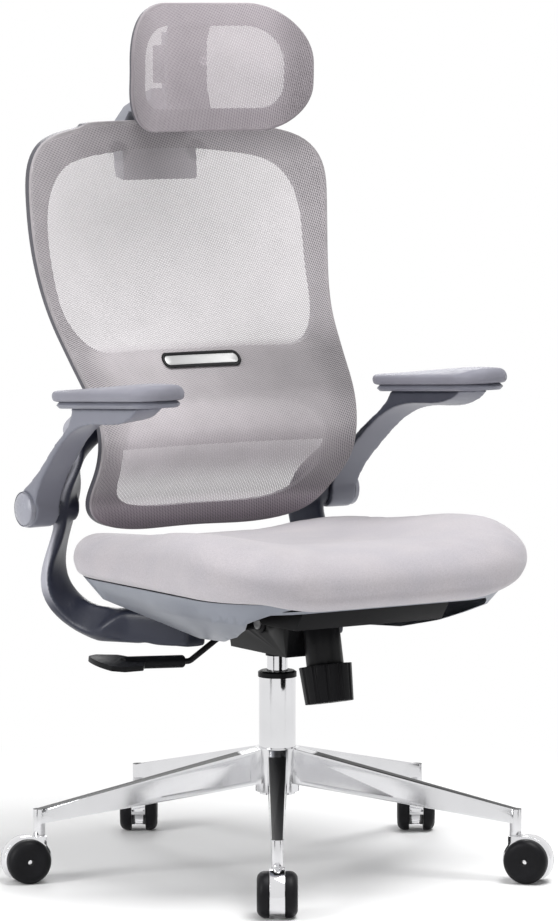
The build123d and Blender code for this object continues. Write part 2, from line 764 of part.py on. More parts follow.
bridge_middle = (bridge_bottom + bridge_top) / 2
screw_level, screw_middle = back_stations[screw_station]


def screw_plane(across):
    """Plane on the bridge's rear face at a screw, looking rearward."""
    wrapped = sagitta * (across / back_half_width) ** 2
    return Plane(origin=(across, screw_middle - wrapped + bridge_rear - screw_head, screw_level),
                 x_dir=(-1, 0, 0), z_dir=(0, 1, 0))


with BuildPart() as back_screws:
    for across in screw_spots:
        with BuildSketch(screw_plane(across)):
            Circle(screw_diameter)
        extrude(amount=screw_head - 1)
        with BuildSketch(screw_plane(across)):
            Circle(screw_diameter / 2)
        extrude(amount=-screw_length)
finish(back_screws, "back_screws")

with BuildPart() as screw_holes:
    for across in screw_spots:
        with BuildSketch(screw_plane(across)):
            Circle(screw_diameter)
        extrude(amount=2 * screw_head)
        with BuildSketch(screw_plane(across)):
            Circle(screw_diameter / 2)
        extrude(amount=-screw_length)

with BuildPart() as back_mesh:
    add(back_piece(0, mesh_thickness, back_outline))
finish(back_mesh, "back_mesh")

with BuildPart() as back_frame:
    add(back_piece(mesh_thickness, frame_rear, back_outline))
    extrude(front_outline(upper_opening), amount=400, both=True, mode=Mode.SUBTRACT)
    extrude(front_outline(lower_opening), amount=400, both=True, mode=Mode.SUBTRACT)
    add(screw_holes.part, mode=Mode.SUBTRACT)
finish(back_frame, "back_frame")


def trim_piece(front, outer, hole):
    with BuildPart() as piece:
        with BuildSketch(Plane.XZ):
            with Locations((0, trim_level)):
                SlotOverall(trim_length - 2 * outer, trim_height - 2 * outer)
                if hole:
                    SlotOverall(trim_length - 2 * hole, trim_height - 2 * hole, mode=Mode.SUBTRACT)
        extrude(amount=400, both=True)
        add(back_slab(-front, 0), mode=Mode.INTERSECT)
    return piece


finish(trim_piece(trim_stand, 0, trim_rim), "trim_surround")
finish(trim_piece(trim_stand - 1, trim_rim, 0), "trim_bar")

# ================================================================ side bars
def bar_loft(grow):
    """The left bar: its sections turn from the back's plane to the underside of the seat."""
    sections = []
    centres = [Vector(*station[0]) for station in bar_stations] + [Vector(*bar_tongue_end)]
    for index, (centre, across, width, thickness) in enumerate(bar_stations):
        behind = index if index == len(bar_stations) - 1 else max(index - 1, 0)
        along = (centres[index + 1] - centres[behind]).normalized()
        level = Vector(*across) - along * Vector(*across).dot(along)
        with BuildSketch(Plane(origin=centre, x_dir=level, z_dir=along)) as section:
            RectangleRounded(width + 2 * grow, thickness + 2 * grow, bar_edge_radius + grow)
        sections.append(section.sketch)
    with BuildPart() as bar:
        loft(sections)
        extrude(sections[-1], amount=(centres[-1] - centres[-2]).length)
    return bar.part


def finish_copy(piece, name):
    """Write the mirrored twin of a left-hand piece."""
    with BuildPart() as twin:
        add(piece.part.mirror(Plane.YZ))
    finish(twin, name)


arm_axis = Vector(-cos(radians(arm_toe)), -sin(radians(arm_toe)), 0)
arm_root = Vector(-arm_pivot_x, arm_pivot_y, arm_pivot_z)
arm_plane = Plane(origin=arm_root, x_dir=(-sin(radians(arm_toe)), cos(radians(arm_toe)), 0), z_dir=arm_axis)
arm_bolt_depth = 30.0
bar_boss_length = 36.0
bar_head_level = 320.0
bar_front = Vector(*bar_tongue_end)
bar_middle = Vector(*bar_stations[-1][0])
bar_pad_angle = degrees(atan2(bar_middle.Y - bar_front.Y, bar_middle.X - bar_front.X))
bar_bolt_spots = [(bar_front + (bar_middle - bar_front) * share) for share in (0.3, 0.72)]

with BuildPart() as bar_shape:
    add(bar_loft(0))
    with BuildSketch(arm_plane.offset(-soft_clearance)):
        Circle(arm_drum_radius + plate_clearance)
        with Locations((0, arm_sweep_below)):
            Rectangle(5 * arm_drum_radius, 4 * arm_drum_radius, align=(Align.CENTER, Align.MAX))
    extrude(amount=arm_drum_length, mode=Mode.SUBTRACT)
    with BuildSketch(arm_plane.offset(-soft_clearance)):
        Circle(arm_drum_radius - 4)
    extrude(amount=-bar_boss_length)
    with BuildSketch(Plane.XY.offset(250)):
        with Locations((0, bar_end_y)):
            Rectangle(600, 200, align=(Align.CENTER, Align.MAX))
    extrude(amount=200, mode=Mode.SUBTRACT)
    with BuildSketch(arm_plane):
        Circle(arm_bolt_diameter / 2)
    extrude(amount=-arm_bolt_depth, mode=Mode.SUBTRACT)
    for spot in bar_bolt_spots:
        with BuildSketch(Plane.XY.offset(bar_head_level - 60)):
            with Locations((spot.X, spot.Y)):
                Circle(bar_bolt_head / 2)
        extrude(amount=60, mode=Mode.SUBTRACT)
        with BuildSketch(Plane.XY.offset(bar_head_level)):
            with Locations((spot.X, spot.Y)):
                Circle(bar_bolt_diameter / 2)
        extrude(amount=60, mode=Mode.SUBTRACT)
finish(bar_shape, "side_bar_left")
finish_copy(bar_shape, "side_bar_right")

with BuildPart() as waist_bridge:
    with BuildSketch(Plane.XZ):
        with Locations((0, bridge_middle)):
            RectangleRounded(2 * bridge_half_width, bridge_top - bridge_bottom, bridge_corner)
    extrude(amount=400, both=True)
    add(back_slab(frame_rear, bridge_rear), mode=Mode.INTERSECT)
    add(screw_holes.part, mode=Mode.SUBTRACT)
    add(bar_shape.part, mode=Mode.SUBTRACT)
    add(bar_shape.part.mirror(Plane.YZ), mode=Mode.SUBTRACT)
finish(waist_bridge, "waist_bridge")

bar_pad_length = (bar_middle - bar_front).length * 0.8
bar_pad_width = 22.0


def bar_pad_centre(side):
    return (-side * (bar_front.X + bar_middle.X) / 2, (bar_front.Y + bar_middle.Y) / 2)


with BuildPart() as bar_cutter:
    add(bar_loft(plate_clearance))
    add(bar_cutter.part.mirror(Plane.YZ))

# ================================================================ seat
pan_top = cushion_bottom - board_thickness


def seat_ring(half, front, rear, front_corner, rear_corner, level):
    """A rounded rectangle in plan whose front and rear corners differ."""
    with BuildSketch(Plane.XY.offset(level)) as ring:
        with Locations((0, (front + rear) / 2)):
            Rectangle(2 * half, rear - front)
        fillet(ring.vertices().group_by(Axis.Y)[0], front_corner)
        fillet(ring.vertices().group_by(Axis.Y)[-1], rear_corner)
    return ring.sketch


with BuildPart() as seat_board:
    extrude(seat_ring(seat_half_width - board_inset, seat_front + board_front_gap, seat_rear - board_inset,
                      board_corner, board_corner, pan_top), amount=board_thickness)
    with BuildSketch(Plane.XY.offset(pan_top)):
        with Locations(*board_bolt_spots):
            Circle(board_bolt_diameter / 2)
    extrude(amount=board_thickness - 2, mode=Mode.SUBTRACT)
finish(seat_board, "seat_board")

with BuildPart() as seat_cushion:
    extrude(seat_ring(seat_half_width, seat_front, seat_rear, seat_front_corner, seat_rear_corner,
                      cushion_bottom), amount=cushion_front_top + 20 - cushion_bottom)
    with BuildSketch(Plane.YZ):
        with BuildLine():
            Polyline((seat_front - 20, cushion_front_top), (seat_front + 110, cushion_front_top),
                     (seat_rear + 20, cushion_rear_top), (seat_rear + 20, cushion_front_top + 60),
                     (seat_front - 20, cushion_front_top + 60), close=True)
        make_face()
    extrude(amount=2 * seat_half_width, both=True, mode=Mode.SUBTRACT)
    fillet(seat_cushion.faces().sort_by(Axis.Z)[0].edges(), cushion_bottom_radius)
    fillet([edge for edge in seat_cushion.edges()
            if edge.center().Z > cushion_rear_top - 2 and not edge.geom_type == GeomType.LINE],
           cushion_top_radius)
finish(seat_cushion, "seat_cushion")

rim = shell_rim + (cushion_bottom - soft_clearance,)
crease = shell_crease + (shell_crease_level,)
base = shell_base + (shell_base_level,)


def thinner(ring):
    half, front, rear, front_corner, rear_corner, level = ring
    return (half - shell_wall, front + shell_wall, rear - shell_wall, front_corner - shell_wall,
            rear_corner - shell_wall, level)


with BuildPart() as shell_inside:
    loft([seat_ring(*thinner(base)), seat_ring(*thinner(crease))], ruled=True)
    loft([seat_ring(*thinner(crease)), seat_ring(*thinner(rim))], ruled=True)

with BuildPart() as shell_pieces:
    loft([seat_ring(*base), seat_ring(*crease)], ruled=True)
    loft([seat_ring(*crease), seat_ring(*rim)], ruled=True)
    add(shell_inside.part, mode=Mode.SUBTRACT)
    with BuildSketch(Plane.YZ):
        with BuildLine():
            Polyline(*shell_edge, (200, 250), (-300, 250), close=True)
        make_face()
    extrude(amount=300, both=True, mode=Mode.SUBTRACT)
    with BuildSketch(Plane.XY.offset(shell_base_level)):
        with Locations((0, shell_base[2] + 40)):
            Rectangle(2 * shell_gate, 160)
    extrude(amount=plate_top + 8 - shell_base_level, mode=Mode.SUBTRACT)
    board_rear = seat_rear - board_inset
    board_front = seat_front + board_front_gap
    with BuildPart(mode=Mode.PRIVATE) as ledge:
        extrude(seat_ring(seat_half_width, board_front - 40, seat_rear, seat_front_corner, seat_rear_corner,
                          pan_top - ledge_thickness), amount=ledge_thickness)
        extrude(seat_ring(seat_half_width - board_inset - shell_ledge, board_front + shell_ledge,
                          board_rear - shell_ledge, board_corner - shell_ledge, board_corner - shell_ledge,
                          pan_top - ledge_thickness), amount=ledge_thickness, mode=Mode.SUBTRACT)
        add(shell_inside.part, mode=Mode.INTERSECT)
    add(ledge.part)
    add(bar_cutter.part, mode=Mode.SUBTRACT)
    with BuildSketch(Plane.XY.offset(shell_base_level)):
        for side in (1, -1):
            with Locations(Location(tuple(bar_pad_centre(side)), -side * bar_pad_angle)):
                Rectangle(bar_pad_length + 4, bar_pad_width + 4)
    extrude(amount=plate_top - shell_base_level, mode=Mode.SUBTRACT)
with BuildPart() as seat_shell:
    add(shell_pieces.part.solids().sort_by(SortBy.VOLUME)[-1])
finish(seat_shell, "seat_shell")

with BuildPart() as seat_pan:
    with BuildSketch(Plane.YZ):
        with BuildLine():
            Polyline(*pan_line, (pan_line[0][0], pan_top), close=True)
        make_face()
    extrude(amount=pan_half_width, both=True)
    with BuildSketch(Plane.YZ):
        with BuildLine():
            Polyline(*[(across + (pan_wall if level == pan_top else 0), level + pan_wall)
                       for across, level in pan_line[1:-1]],
                     (pan_line[-1][0] + 1.5 * pan_wall, pan_top + 1),
                     (pan_line[0][0] - pan_wall, pan_top + 1),
                     (pan_line[0][0] - pan_wall, pan_line[0][1] + pan_wall), close=True)
        make_face()
    extrude(amount=pan_half_width - pan_wall, both=True, mode=Mode.SUBTRACT)
    with BuildSketch(Plane.XY.offset(plate_top)):
        with Locations(*board_bolt_spots):
            Circle(board_bolt_diameter / 2)
    extrude(amount=pan_wall, mode=Mode.SUBTRACT)
finish(seat_pan, "seat_pan")

# ================================================================ plate between mechanism and seat
nut_height = 6.0
pad_rise = bar_pad_depth
with BuildPart() as bar_pads:
    with BuildSketch(Plane.XY.offset(plate_bottom - pad_rise)):
        with Locations(Location(tuple(bar_pad_centre(-1)), bar_pad_angle)):
            Rectangle(bar_pad_length, bar_pad_width)
    extrude(amount=pad_rise)
    add(bar_loft(0), mode=Mode.SUBTRACT)
    with BuildSketch(Plane.XY.offset(250)):
        Rectangle(600, 2 * bar_end_y)
    extrude(amount=200, mode=Mode.SUBTRACT)
    add(bar_pads.part.mirror(Plane.YZ))
with BuildPart() as tilt_plate_done:
    add(tilt_plate.part)
    add(bar_pads.part)
    with BuildSketch(Plane.XY.offset(plate_bottom - pad_rise)):
        for spot in bar_bolt_spots:
            with Locations((spot.X, spot.Y), (-spot.X, spot.Y)):
                Circle(bar_bolt_diameter / 2)
        with Locations(*board_bolt_spots):
            Circle(board_bolt_diameter / 2)
    extrude(amount=pad_rise + plate_thickness, mode=Mode.SUBTRACT)
finish(tilt_plate_done, "tilt_plate")

with BuildPart() as seat_bolts:
    for spot in bar_bolt_spots:
        for side in (1, -1):
            with BuildSketch(Plane.XY.offset(bar_head_level - 8)):
                with Locations((side * spot.X, spot.Y)):
                    Circle(bar_bolt_head / 2)
            extrude(amount=8)
            with BuildSketch(Plane.XY.offset(bar_head_level)):
                with Locations((side * spot.X, spot.Y)):
                    Circle(bar_bolt_diameter / 2)
            extrude(amount=plate_top + nut_height - bar_head_level)
            with BuildSketch(Plane.XY.offset(plate_top)):
                with Locations((side * spot.X, spot.Y)):
                    RegularPolygon(bar_bolt_diameter * 0.8, 6)
            extrude(amount=nut_height)
    with BuildSketch(Plane.XY.offset(plate_bottom - 4)):
        with Locations(*board_bolt_spots):
            Circle(board_bolt_diameter)
    extrude(amount=4)
    with BuildSketch(Plane.XY.offset(plate_bottom)):
        with Locations(*board_bolt_spots):
            Circle(board_bolt_diameter / 2)
    extrude(amount=pan_top + board_thickness - 2 - plate_bottom)
finish(seat_bolts, "seat_bolts")

# ================================================================ arms
pad_plane = Plane(origin=(-pad_x, pad_y, pad_level), x_dir=(1, 0, 0), z_dir=(0, tan(radians(pad_tilt)), 1))
lean = radians(arm_lean)
arm_middle = arm_pivot_x + arm_thickness / 2 - 7.0
lean_plane = Plane(origin=(-arm_middle, 0, arm_pivot_z), x_dir=(0, 1, 0), z_dir=(cos(lean), 0, sin(lean)))

with BuildPart() as arm:
    with BuildSketch(lean_plane):
        with BuildLine():
            under = Spline(*[(across, level - arm_pivot_z) for across, level in arm_under])
            rear = Spline(*[(across, level - arm_pivot_z) for across, level in arm_rear])
            Line(under @ 1, rear @ 0)
            Polyline(rear @ 1, (arm_pivot_y, 0), under @ 0)
        make_face()
    extrude(amount=arm_thickness / 2, both=True)
    with BuildSketch(arm_plane):
        Circle(arm_drum_radius)
    extrude(amount=arm_drum_length)
    with BuildSketch(arm_plane):
        Rectangle(900, 900)
    extrude(amount=-200, mode=Mode.SUBTRACT)
    with BuildSketch(pad_plane):
        Rectangle(600, 900)
    extrude(amount=200, mode=Mode.SUBTRACT)
    with BuildSketch(arm_plane):
        Circle(arm_bolt_diameter / 2 + running_clearance)
    extrude(amount=arm_drum_length, mode=Mode.SUBTRACT)
    with BuildSketch(arm_plane.offset(arm_drum_length - 8)):
        Circle(arm_bolt_diameter / 2 + 6)
    extrude(amount=8, mode=Mode.SUBTRACT)
    with BuildSketch(arm_plane.offset(arm_drum_length)):
        Circle(arm_drum_radius - 2 + arm_drum_groove)
    extrude(amount=60, mode=Mode.SUBTRACT)
finish(arm, "arm_left")
finish_copy(arm, "arm_right")

with BuildPart() as arm_cap:
    with BuildSketch(arm_plane.offset(arm_drum_length)):
        Circle(arm_drum_radius - 2)
    extrude(amount=cap_height)
    fillet(arm_cap.faces().sort_by(Axis.X)[0].edges(), cap_height - 1.5)
finish(arm_cap, "arm_cap_left")
finish_copy(arm_cap, "arm_cap_right")

with BuildPart() as arm_pivot_bolts:
    with BuildSketch(arm_plane.offset(-arm_bolt_depth)):
        Circle(arm_bolt_diameter / 2)
    extrude(amount=arm_bolt_depth + arm_drum_length - 8)
    with BuildSketch(arm_plane.offset(arm_drum_length - 8 + plate_clearance)):
        Circle(arm_bolt_diameter / 2 + 5)
    extrude(amount=5)
    with BuildSketch(arm_plane.offset(arm_drum_length - 8)):
        Circle(arm_bolt_diameter / 2)
    extrude(amount=2)
    add(arm_pivot_bolts.part.mirror(Plane.YZ))
finish(arm_pivot_bolts, "arm_pivot_bolts")

with BuildPart() as pad_plate:
    with BuildSketch(pad_plane):
        RectangleRounded(pad_width - 2 * pad_plate_inset, pad_length - 2 * pad_plate_inset,
                         pad_corner - pad_plate_inset)
    extrude(amount=pad_plate_height)
    chamfer(pad_plate.faces().sort_by(Axis.Z)[0].edges(), 4)
finish(pad_plate, "arm_plate_left")
finish_copy(pad_plate, "arm_plate_right")

with BuildPart() as arm_pad:
    with BuildSketch(pad_plane.offset(pad_plate_height)):
        RectangleRounded(pad_width, pad_length, pad_corner)
    extrude(amount=pad_height - pad_plate_height)
    broad_faces = arm_pad.faces().sort_by(SortBy.AREA)[-2:]
    fillet(broad_faces[0].edges() + broad_faces[1].edges(), pad_edge_radius)
finish(arm_pad, "arm_pad_left")
finish_copy(arm_pad, "arm_pad_right")

# ================================================================ headrest
def side_section(points):
    """A closed shape seen from the side."""
    with BuildSketch(Plane.YZ) as side:
        with BuildLine():
            Polyline(*points, close=True)
        make_face()
    return side.sketch


def post_block(half, gap, bottom, top):
    """The post's cross-section grown by a gap, between two heights."""
    with BuildPart() as block:
        with BuildSketch(Plane.XY.offset(bottom)):
            with Locations((0, post_front + post_thickness / 2)):
                Rectangle(2 * (half + gap), post_thickness + 2 * gap)
        extrude(amount=top - bottom)
    return block.part


with BuildPart() as headrest_bracket:
    extrude(side_section(neck_line), amount=neck_half_width, both=True)
    with BuildSketch(Plane.XZ):
        with BuildLine():
            Polyline((-neck_half_width, 900), (neck_half_width, 900), (neck_half_width, neck_shoulder),
                     (neck_top_half_width, neck_top), (-neck_top_half_width, neck_top),
                     (-neck_half_width, neck_shoulder), close=True)
        make_face()
    extrude(amount=500, both=True, mode=Mode.INTERSECT)
    add(back_slab(-60, frame_rear + contact_gap), mode=Mode.SUBTRACT)
    add(post_block(post_half_width, 0, post_root, post_top))
finish(headrest_bracket, "headrest_bracket")

with BuildPart() as headrest_slider:
    with BuildSketch(Plane.XY.offset(slider_bottom)):
        with Locations((0, slider_front + slider_depth / 2)):
            RectangleRounded(2 * slider_half_width, slider_depth, 5)
    extrude(amount=slider_height)
    with BuildSketch(Plane.YZ):
        with Locations((headrest_pivot_y, headrest_pivot_z)):
            Circle(ear_radius)
            Rectangle(slider_front - headrest_pivot_y + 1, 2 * ear_radius, align=(Align.MIN, Align.CENTER))
    extrude(amount=lug_half_width, both=True)
    with BuildSketch(Plane.YZ):
        with Locations((headrest_pivot_y, headrest_pivot_z)):
            Circle(headrest_pin_diameter / 2)
    extrude(amount=lug_half_width + plate_clearance + ear_thickness + 1, both=True)
    add(post_block(post_half_width, running_clearance, slider_bottom - 1, slider_bottom + slider_height + 1),
        mode=Mode.SUBTRACT)
finish(headrest_slider, "headrest_slider")


def headrest_slab(front, rear):
    half = headrest_half_width + 12.0
    wrap = headrest_sagitta * (half / headrest_half_width) ** 2
    sections = []
    for level, middle in headrest_stations:
        with BuildSketch(Plane.XY.offset(level)) as section:
            with BuildLine():
                face = ThreePointArc((-half, middle - wrap + front), (0, middle + front),
                                     (half, middle - wrap + front))
                hind = ThreePointArc((half, middle - wrap + rear), (0, middle + rear),
                                     (-half, middle - wrap + rear))
                Line(face @ 1, hind @ 0)
                Line(hind @ 1, face @ 0)
            make_face()
        sections.append(section.sketch)
    with BuildPart() as slab:
        loft(sections)
    return slab.part


headrest_middle = (headrest_bottom + headrest_top) / 2
headrest_height = headrest_top - headrest_bottom
headrest_rear = mesh_thickness + headrest_frame_thickness


def headrest_outline(inset):
    """The headrest seen from the front, drawn in from its edge by an inset."""
    with BuildSketch(Plane.XZ) as outline:
        with Locations((0, headrest_middle)):
            Rectangle(2 * (headrest_half_width - inset), headrest_height - 2 * inset)
        fillet(outline.vertices().group_by(Axis.Y)[-1], headrest_top_corner - inset)
        fillet(outline.vertices().group_by(Axis.Y)[0], headrest_bottom_corner - inset)
    return outline.sketch


with BuildPart() as headrest_mesh:
    extrude(headrest_outline(0), amount=400, both=True)
    add(headrest_slab(0, mesh_thickness), mode=Mode.INTERSECT)
finish(headrest_mesh, "headrest_mesh")

strap_inner = [(across - strap_thickness * lean_in, level) for (across, level), lean_in
               in reversed(list(zip(strap_line, (0.2, 1.1, 1, 1, 1.1, 0.2))))]
with BuildPart() as headrest_frame:
    extrude(headrest_outline(0), amount=400, both=True)
    extrude(headrest_outline(headrest_band), amount=400, both=True, mode=Mode.SUBTRACT)
    add(headrest_slab(mesh_thickness, headrest_rear), mode=Mode.INTERSECT)
    extrude(side_section(strap_line + strap_inner), amount=strap_half_width, both=True)
    add(headrest_slab(-40, mesh_thickness), mode=Mode.SUBTRACT)
    for side in (1, -1):
        with BuildSketch(Plane.YZ.offset(side * (lug_half_width + plate_clearance))):
            with Locations((headrest_pivot_y, headrest_pivot_z)):
                Circle(ear_radius)
                Rectangle(headrest_pivot_y - strap_line[2][0], 2 * ear_radius,
                          align=(Align.MAX, Align.CENTER))
                Circle(headrest_pin_diameter / 2 + running_clearance, mode=Mode.SUBTRACT)
        extrude(amount=side * ear_thickness)
finish(headrest_frame, "headrest_frame")
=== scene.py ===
import bpy
from math import atan2, cos, exp, hypot, pi, radians, sin
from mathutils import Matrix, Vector
from mathutils.bvhtree import BVHTree


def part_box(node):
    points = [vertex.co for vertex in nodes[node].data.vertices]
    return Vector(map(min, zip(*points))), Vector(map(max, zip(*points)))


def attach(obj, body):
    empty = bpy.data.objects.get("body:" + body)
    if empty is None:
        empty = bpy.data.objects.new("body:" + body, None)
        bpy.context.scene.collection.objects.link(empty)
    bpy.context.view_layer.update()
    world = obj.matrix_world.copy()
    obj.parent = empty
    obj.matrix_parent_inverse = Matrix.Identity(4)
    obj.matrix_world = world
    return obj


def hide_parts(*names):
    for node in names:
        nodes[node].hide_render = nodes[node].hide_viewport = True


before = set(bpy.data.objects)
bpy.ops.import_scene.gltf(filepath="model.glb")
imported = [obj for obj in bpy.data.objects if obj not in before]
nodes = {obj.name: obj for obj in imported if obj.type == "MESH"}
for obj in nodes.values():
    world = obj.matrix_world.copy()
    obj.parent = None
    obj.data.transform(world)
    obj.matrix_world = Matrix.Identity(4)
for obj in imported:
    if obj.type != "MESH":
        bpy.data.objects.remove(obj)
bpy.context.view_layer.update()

# A high-back mesh office chair on a five-leg castor base. Metres, +Z up, the sitter faces -Y.

# ------------------------------------------------------------------ working with meshes
def deselect():
    bpy.ops.object.select_all(action="DESELECT")


def pick(piece):
    deselect()
    piece.select_set(True)
    bpy.context.view_layer.objects.active = piece


def settle(piece):
    """Put a piece's place into its mesh, so its object sits at the origin."""
    pick(piece)
    bpy.ops.object.transform_apply(location=True, rotation=True, scale=True)


def rise(value, low, high):
    """0 below low, 1 above high, and a smooth step between them."""
    part = max(0.0, min(1.0, (value - low) / (high - low)))
    return part * part * (3 - 2 * part)


def finish_piece(piece, body, material, smooth=35):
    pick(piece)
    if smooth:
        bpy.ops.object.shade_smooth_by_angle(angle=radians(smooth))
    piece.data.materials.clear()
    piece.data.materials.append(material)
    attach(piece, body)
    return piece


def merge_points(piece, distance):
    """Joins the points of a piece that lie within a distance of each other."""
    pick(piece)
    bpy.ops.object.mode_set(mode="EDIT")
    bpy.ops.mesh.select_all(action="SELECT")
    bpy.ops.mesh.remove_doubles(threshold=distance)
    bpy.ops.object.mode_set(mode="OBJECT")


def copy_of(node, name):
    """A merged copy of a CAD node's mesh as a new piece."""
    mesh = nodes[node].data.copy()
    piece = bpy.data.objects.new(name, mesh)
    bpy.context.collection.objects.link(piece)
    merge_points(piece, 0.00002)
    return piece


def apply_all(piece):
    pick(piece)
    for modifier in list(piece.modifiers):
        bpy.ops.object.modifier_apply(modifier=modifier.name)


def relax(piece, rounds, group=""):
    """Adds a smoothing of a piece, or of one of its groups of points."""
    smoothing = piece.modifiers.new("relax", "SMOOTH")
    smoothing.factor = 0.5
    smoothing.iterations = rounds
    smoothing.vertex_group = group


def even_out(piece, voxel, rounds):
    """Rebuilds a piece in faces of one size and relaxes it."""
    remesh = piece.modifiers.new("even", "REMESH")
    remesh.mode = "VOXEL"
    remesh.voxel_size = voxel
    relax(piece, rounds)
    apply_all(piece)


def eased(node, name, width, segments=2, sharp=40):
    """A copy of a hard node with its corners rounded over by a small radius."""
    piece = copy_of(node, name)
    bpy.ops.object.mode_set(mode="EDIT")
    bpy.ops.mesh.select_all(action="SELECT")
    bpy.ops.mesh.dissolve_limited(angle_limit=radians(0.6), delimit={"NORMAL"})
    bpy.ops.object.mode_set(mode="OBJECT")
    bevel = piece.modifiers.new("ease", "BEVEL")
    bevel.width = width
    bevel.segments = segments
    bevel.limit_method = "ANGLE"
    bevel.angle_limit = radians(sharp)
    bevel.use_clamp_overlap = True
    apply_all(piece)
    return piece


# ------------------------------------------------------------------ finishes
class Nodes:
    """Adds and joins the nodes of one tree."""

    def __init__(self, tree):
        self.tree = tree

    def add(self, kind, **settings):
        node = self.tree.nodes.new(kind)
        for key, value in settings.items():
            setattr(node, key, value)
        return node

    def join(self, source, target):
        self.tree.links.new(source, target)

    def sums(self, operation, a, b=None, clamp=False):
        node = self.add("ShaderNodeMath", operation=operation, use_clamp=clamp)
        for socket, value in zip(node.inputs, (a, b)):
            if value is None:
                continue
            if isinstance(value, (int, float)):
                socket.default_value = value
            else:
                self.join(value, socket)
        return node.outputs["Value"]

    def looked_at(self):
        """1 for the rays of the camera, of mirrors and of clear things, 0 for those that carry light."""
        path = self.add("ShaderNodeLightPath")
        seen = self.sums("MAXIMUM", path.outputs["Is Camera Ray"], path.outputs["Is Glossy Ray"])
        return self.sums("MAXIMUM", seen, path.outputs["Is Transmission Ray"])

    def show(self, share, first, second, output):
        """Shows the first shader, and the second in its place by a share."""
        blend = self.add("ShaderNodeMixShader")
        self.join(share, blend.inputs["Fac"])
        self.join(first, blend.inputs[1])
        self.join(second, blend.inputs[2])
        self.join(blend.outputs["Shader"], self.tree.nodes[output].inputs["Surface"])


class Finish(Nodes):
    """Builds one material's nodes."""

    def __init__(self, name):
        self.material = bpy.data.materials.new(name)
        self.material.use_nodes = True
        super().__init__(self.material.node_tree)
        self.surface = self.tree.nodes["Principled BSDF"]
        self.place = self.add("ShaderNodeTexCoord").outputs["Object"]

    def scaled(self, x, y, z, turn=(0, 0, 0)):
        mapping = self.add("ShaderNodeMapping")
        mapping.inputs["Scale"].default_value = (x, y, z)
        mapping.inputs["Rotation"].default_value = turn
        self.join(self.place, mapping.inputs["Vector"])
        return mapping.outputs["Vector"]

    def noise(self, scale, detail=3.0, place=None, roughness=0.5):
        node = self.add("ShaderNodeTexNoise")
        node.inputs["Scale"].default_value = scale
        node.inputs["Detail"].default_value = detail
        node.inputs["Roughness"].default_value = roughness
        self.join(place or self.place, node.inputs["Vector"])
        return node.outputs["Fac"]

    def ramp(self, value, stops):
        node = self.add("ShaderNodeValToRGB")
        for _ in range(len(stops) - 2):
            node.color_ramp.elements.new(0.5)
        for element, (at, colour) in zip(node.color_ramp.elements, stops):
            element.position = at
            element.color = colour if len(colour) == 4 else (*colour, 1)
        self.join(value, node.inputs["Fac"])
        return node.outputs["Color"]

    def between(self, value, low, high):
        node = self.add("ShaderNodeMapRange")
        node.inputs["To Min"].default_value = low
        node.inputs["To Max"].default_value = high
        self.join(value, node.inputs["Value"])
        return node.outputs["Result"]

    def mask(self, value, low, high, **settings):
        """0 where the value is low, 1 where it is high."""
        node = self.add("ShaderNodeMapRange", **settings)
        node.inputs["From Min"].default_value = low
        node.inputs["From Max"].default_value = high
        self.join(value, node.inputs["Value"])
        return node.outputs["Result"]

    def length(self, vector):
        node = self.add("ShaderNodeVectorMath", operation="LENGTH")
        self.join(vector, node.inputs[0])
        return node.outputs["Value"]

    def multiplied(self, colour, by):
        mix = self.add("ShaderNodeMix", data_type="RGBA", blend_type="MULTIPLY")
        mix.inputs["Factor"].default_value = 1.0
        self.join(colour, mix.inputs["A"])
        self.join(by, mix.inputs["B"])
        return mix.outputs["Result"]

    def give_way(self, share, shader):
        """Another shader takes the surface's place by a share."""
        self.show(share, self.surface.outputs["BSDF"], shader, "Material Output")

    def bump(self, height, strength, distance):
        node = self.add("ShaderNodeBump")
        node.inputs["Strength"].default_value = strength
        node.inputs["Distance"].default_value = distance
        self.join(height, node.inputs["Height"])
        self.join(node.outputs["Normal"], self.surface.inputs["Normal"])

    def set(self, **values):
        for key, value in values.items():
            self.surface.inputs[key.replace("_", " ")].default_value = value


def shade(colour, factor):
    return tuple(min(1.0, channel * factor) for channel in colour)


def moulded_plastic(name, colour, roughness, grain=0.00012, lit_colour=None):
    """Injection-moulded plastic with a fine grain. Given a lit colour, it paints light and shade: faces that
    a point attribute marks as lit take that colour, and the others keep the darker base colour as painted
    shade.
    """
    finish = Finish(name)
    cloud = finish.noise(9.0, 3.0)
    tint = finish.ramp(cloud, [(0.3, shade(colour, 0.93)), (0.7, shade(colour, 1.07))])
    # painted light and shade: the lit colour is mixed over the base colour where the face attribute marks a
    # face lit
    if lit_colour:
        lit_side = finish.add("ShaderNodeMix", data_type="RGBA")
        share = finish.add("ShaderNodeAttribute", attribute_name="painted_lit_side")
        finish.join(share.outputs["Fac"], lit_side.inputs["Factor"])
        finish.join(tint, lit_side.inputs["A"])
        lit_side.inputs["B"].default_value = (*lit_colour, 1)
        tint = lit_side.outputs["Result"]
    finish.join(tint, finish.surface.inputs["Base Color"])
    finish.join(finish.between(finish.noise(60.0, 4.0), roughness - 0.05, roughness + 0.07),
                finish.surface.inputs["Roughness"])
    finish.bump(finish.noise(1900.0, 2.0), 0.35, grain)
    finish.set(Specular_IOR_Level=0.38)
    return finish.material


def cast_aluminium(name, colour, roughness, hub_radius=None):
    """Polished die-cast aluminium: soft ripples and faint polishing marks, with black tops outside a hub."""
    finish = Finish(name)
    marks = finish.noise(420.0, 4.0, finish.scaled(1, 1, 0.12))
    finish.join(finish.between(marks, roughness - 0.05, roughness + 0.08), finish.surface.inputs["Roughness"])
    cloud = finish.noise(14.0, 2.0)
    finish.join(finish.ramp(cloud, [(0.3, shade(colour, 0.94)), (0.7, shade(colour, 1.03))]),
                finish.surface.inputs["Base Color"])
    finish.bump(finish.noise(26.0, 2.0), 0.10, 0.0004)
    finish.set(Metallic=1.0)
    if hub_radius:
        black_tops(finish, hub_radius)
    return finish.material


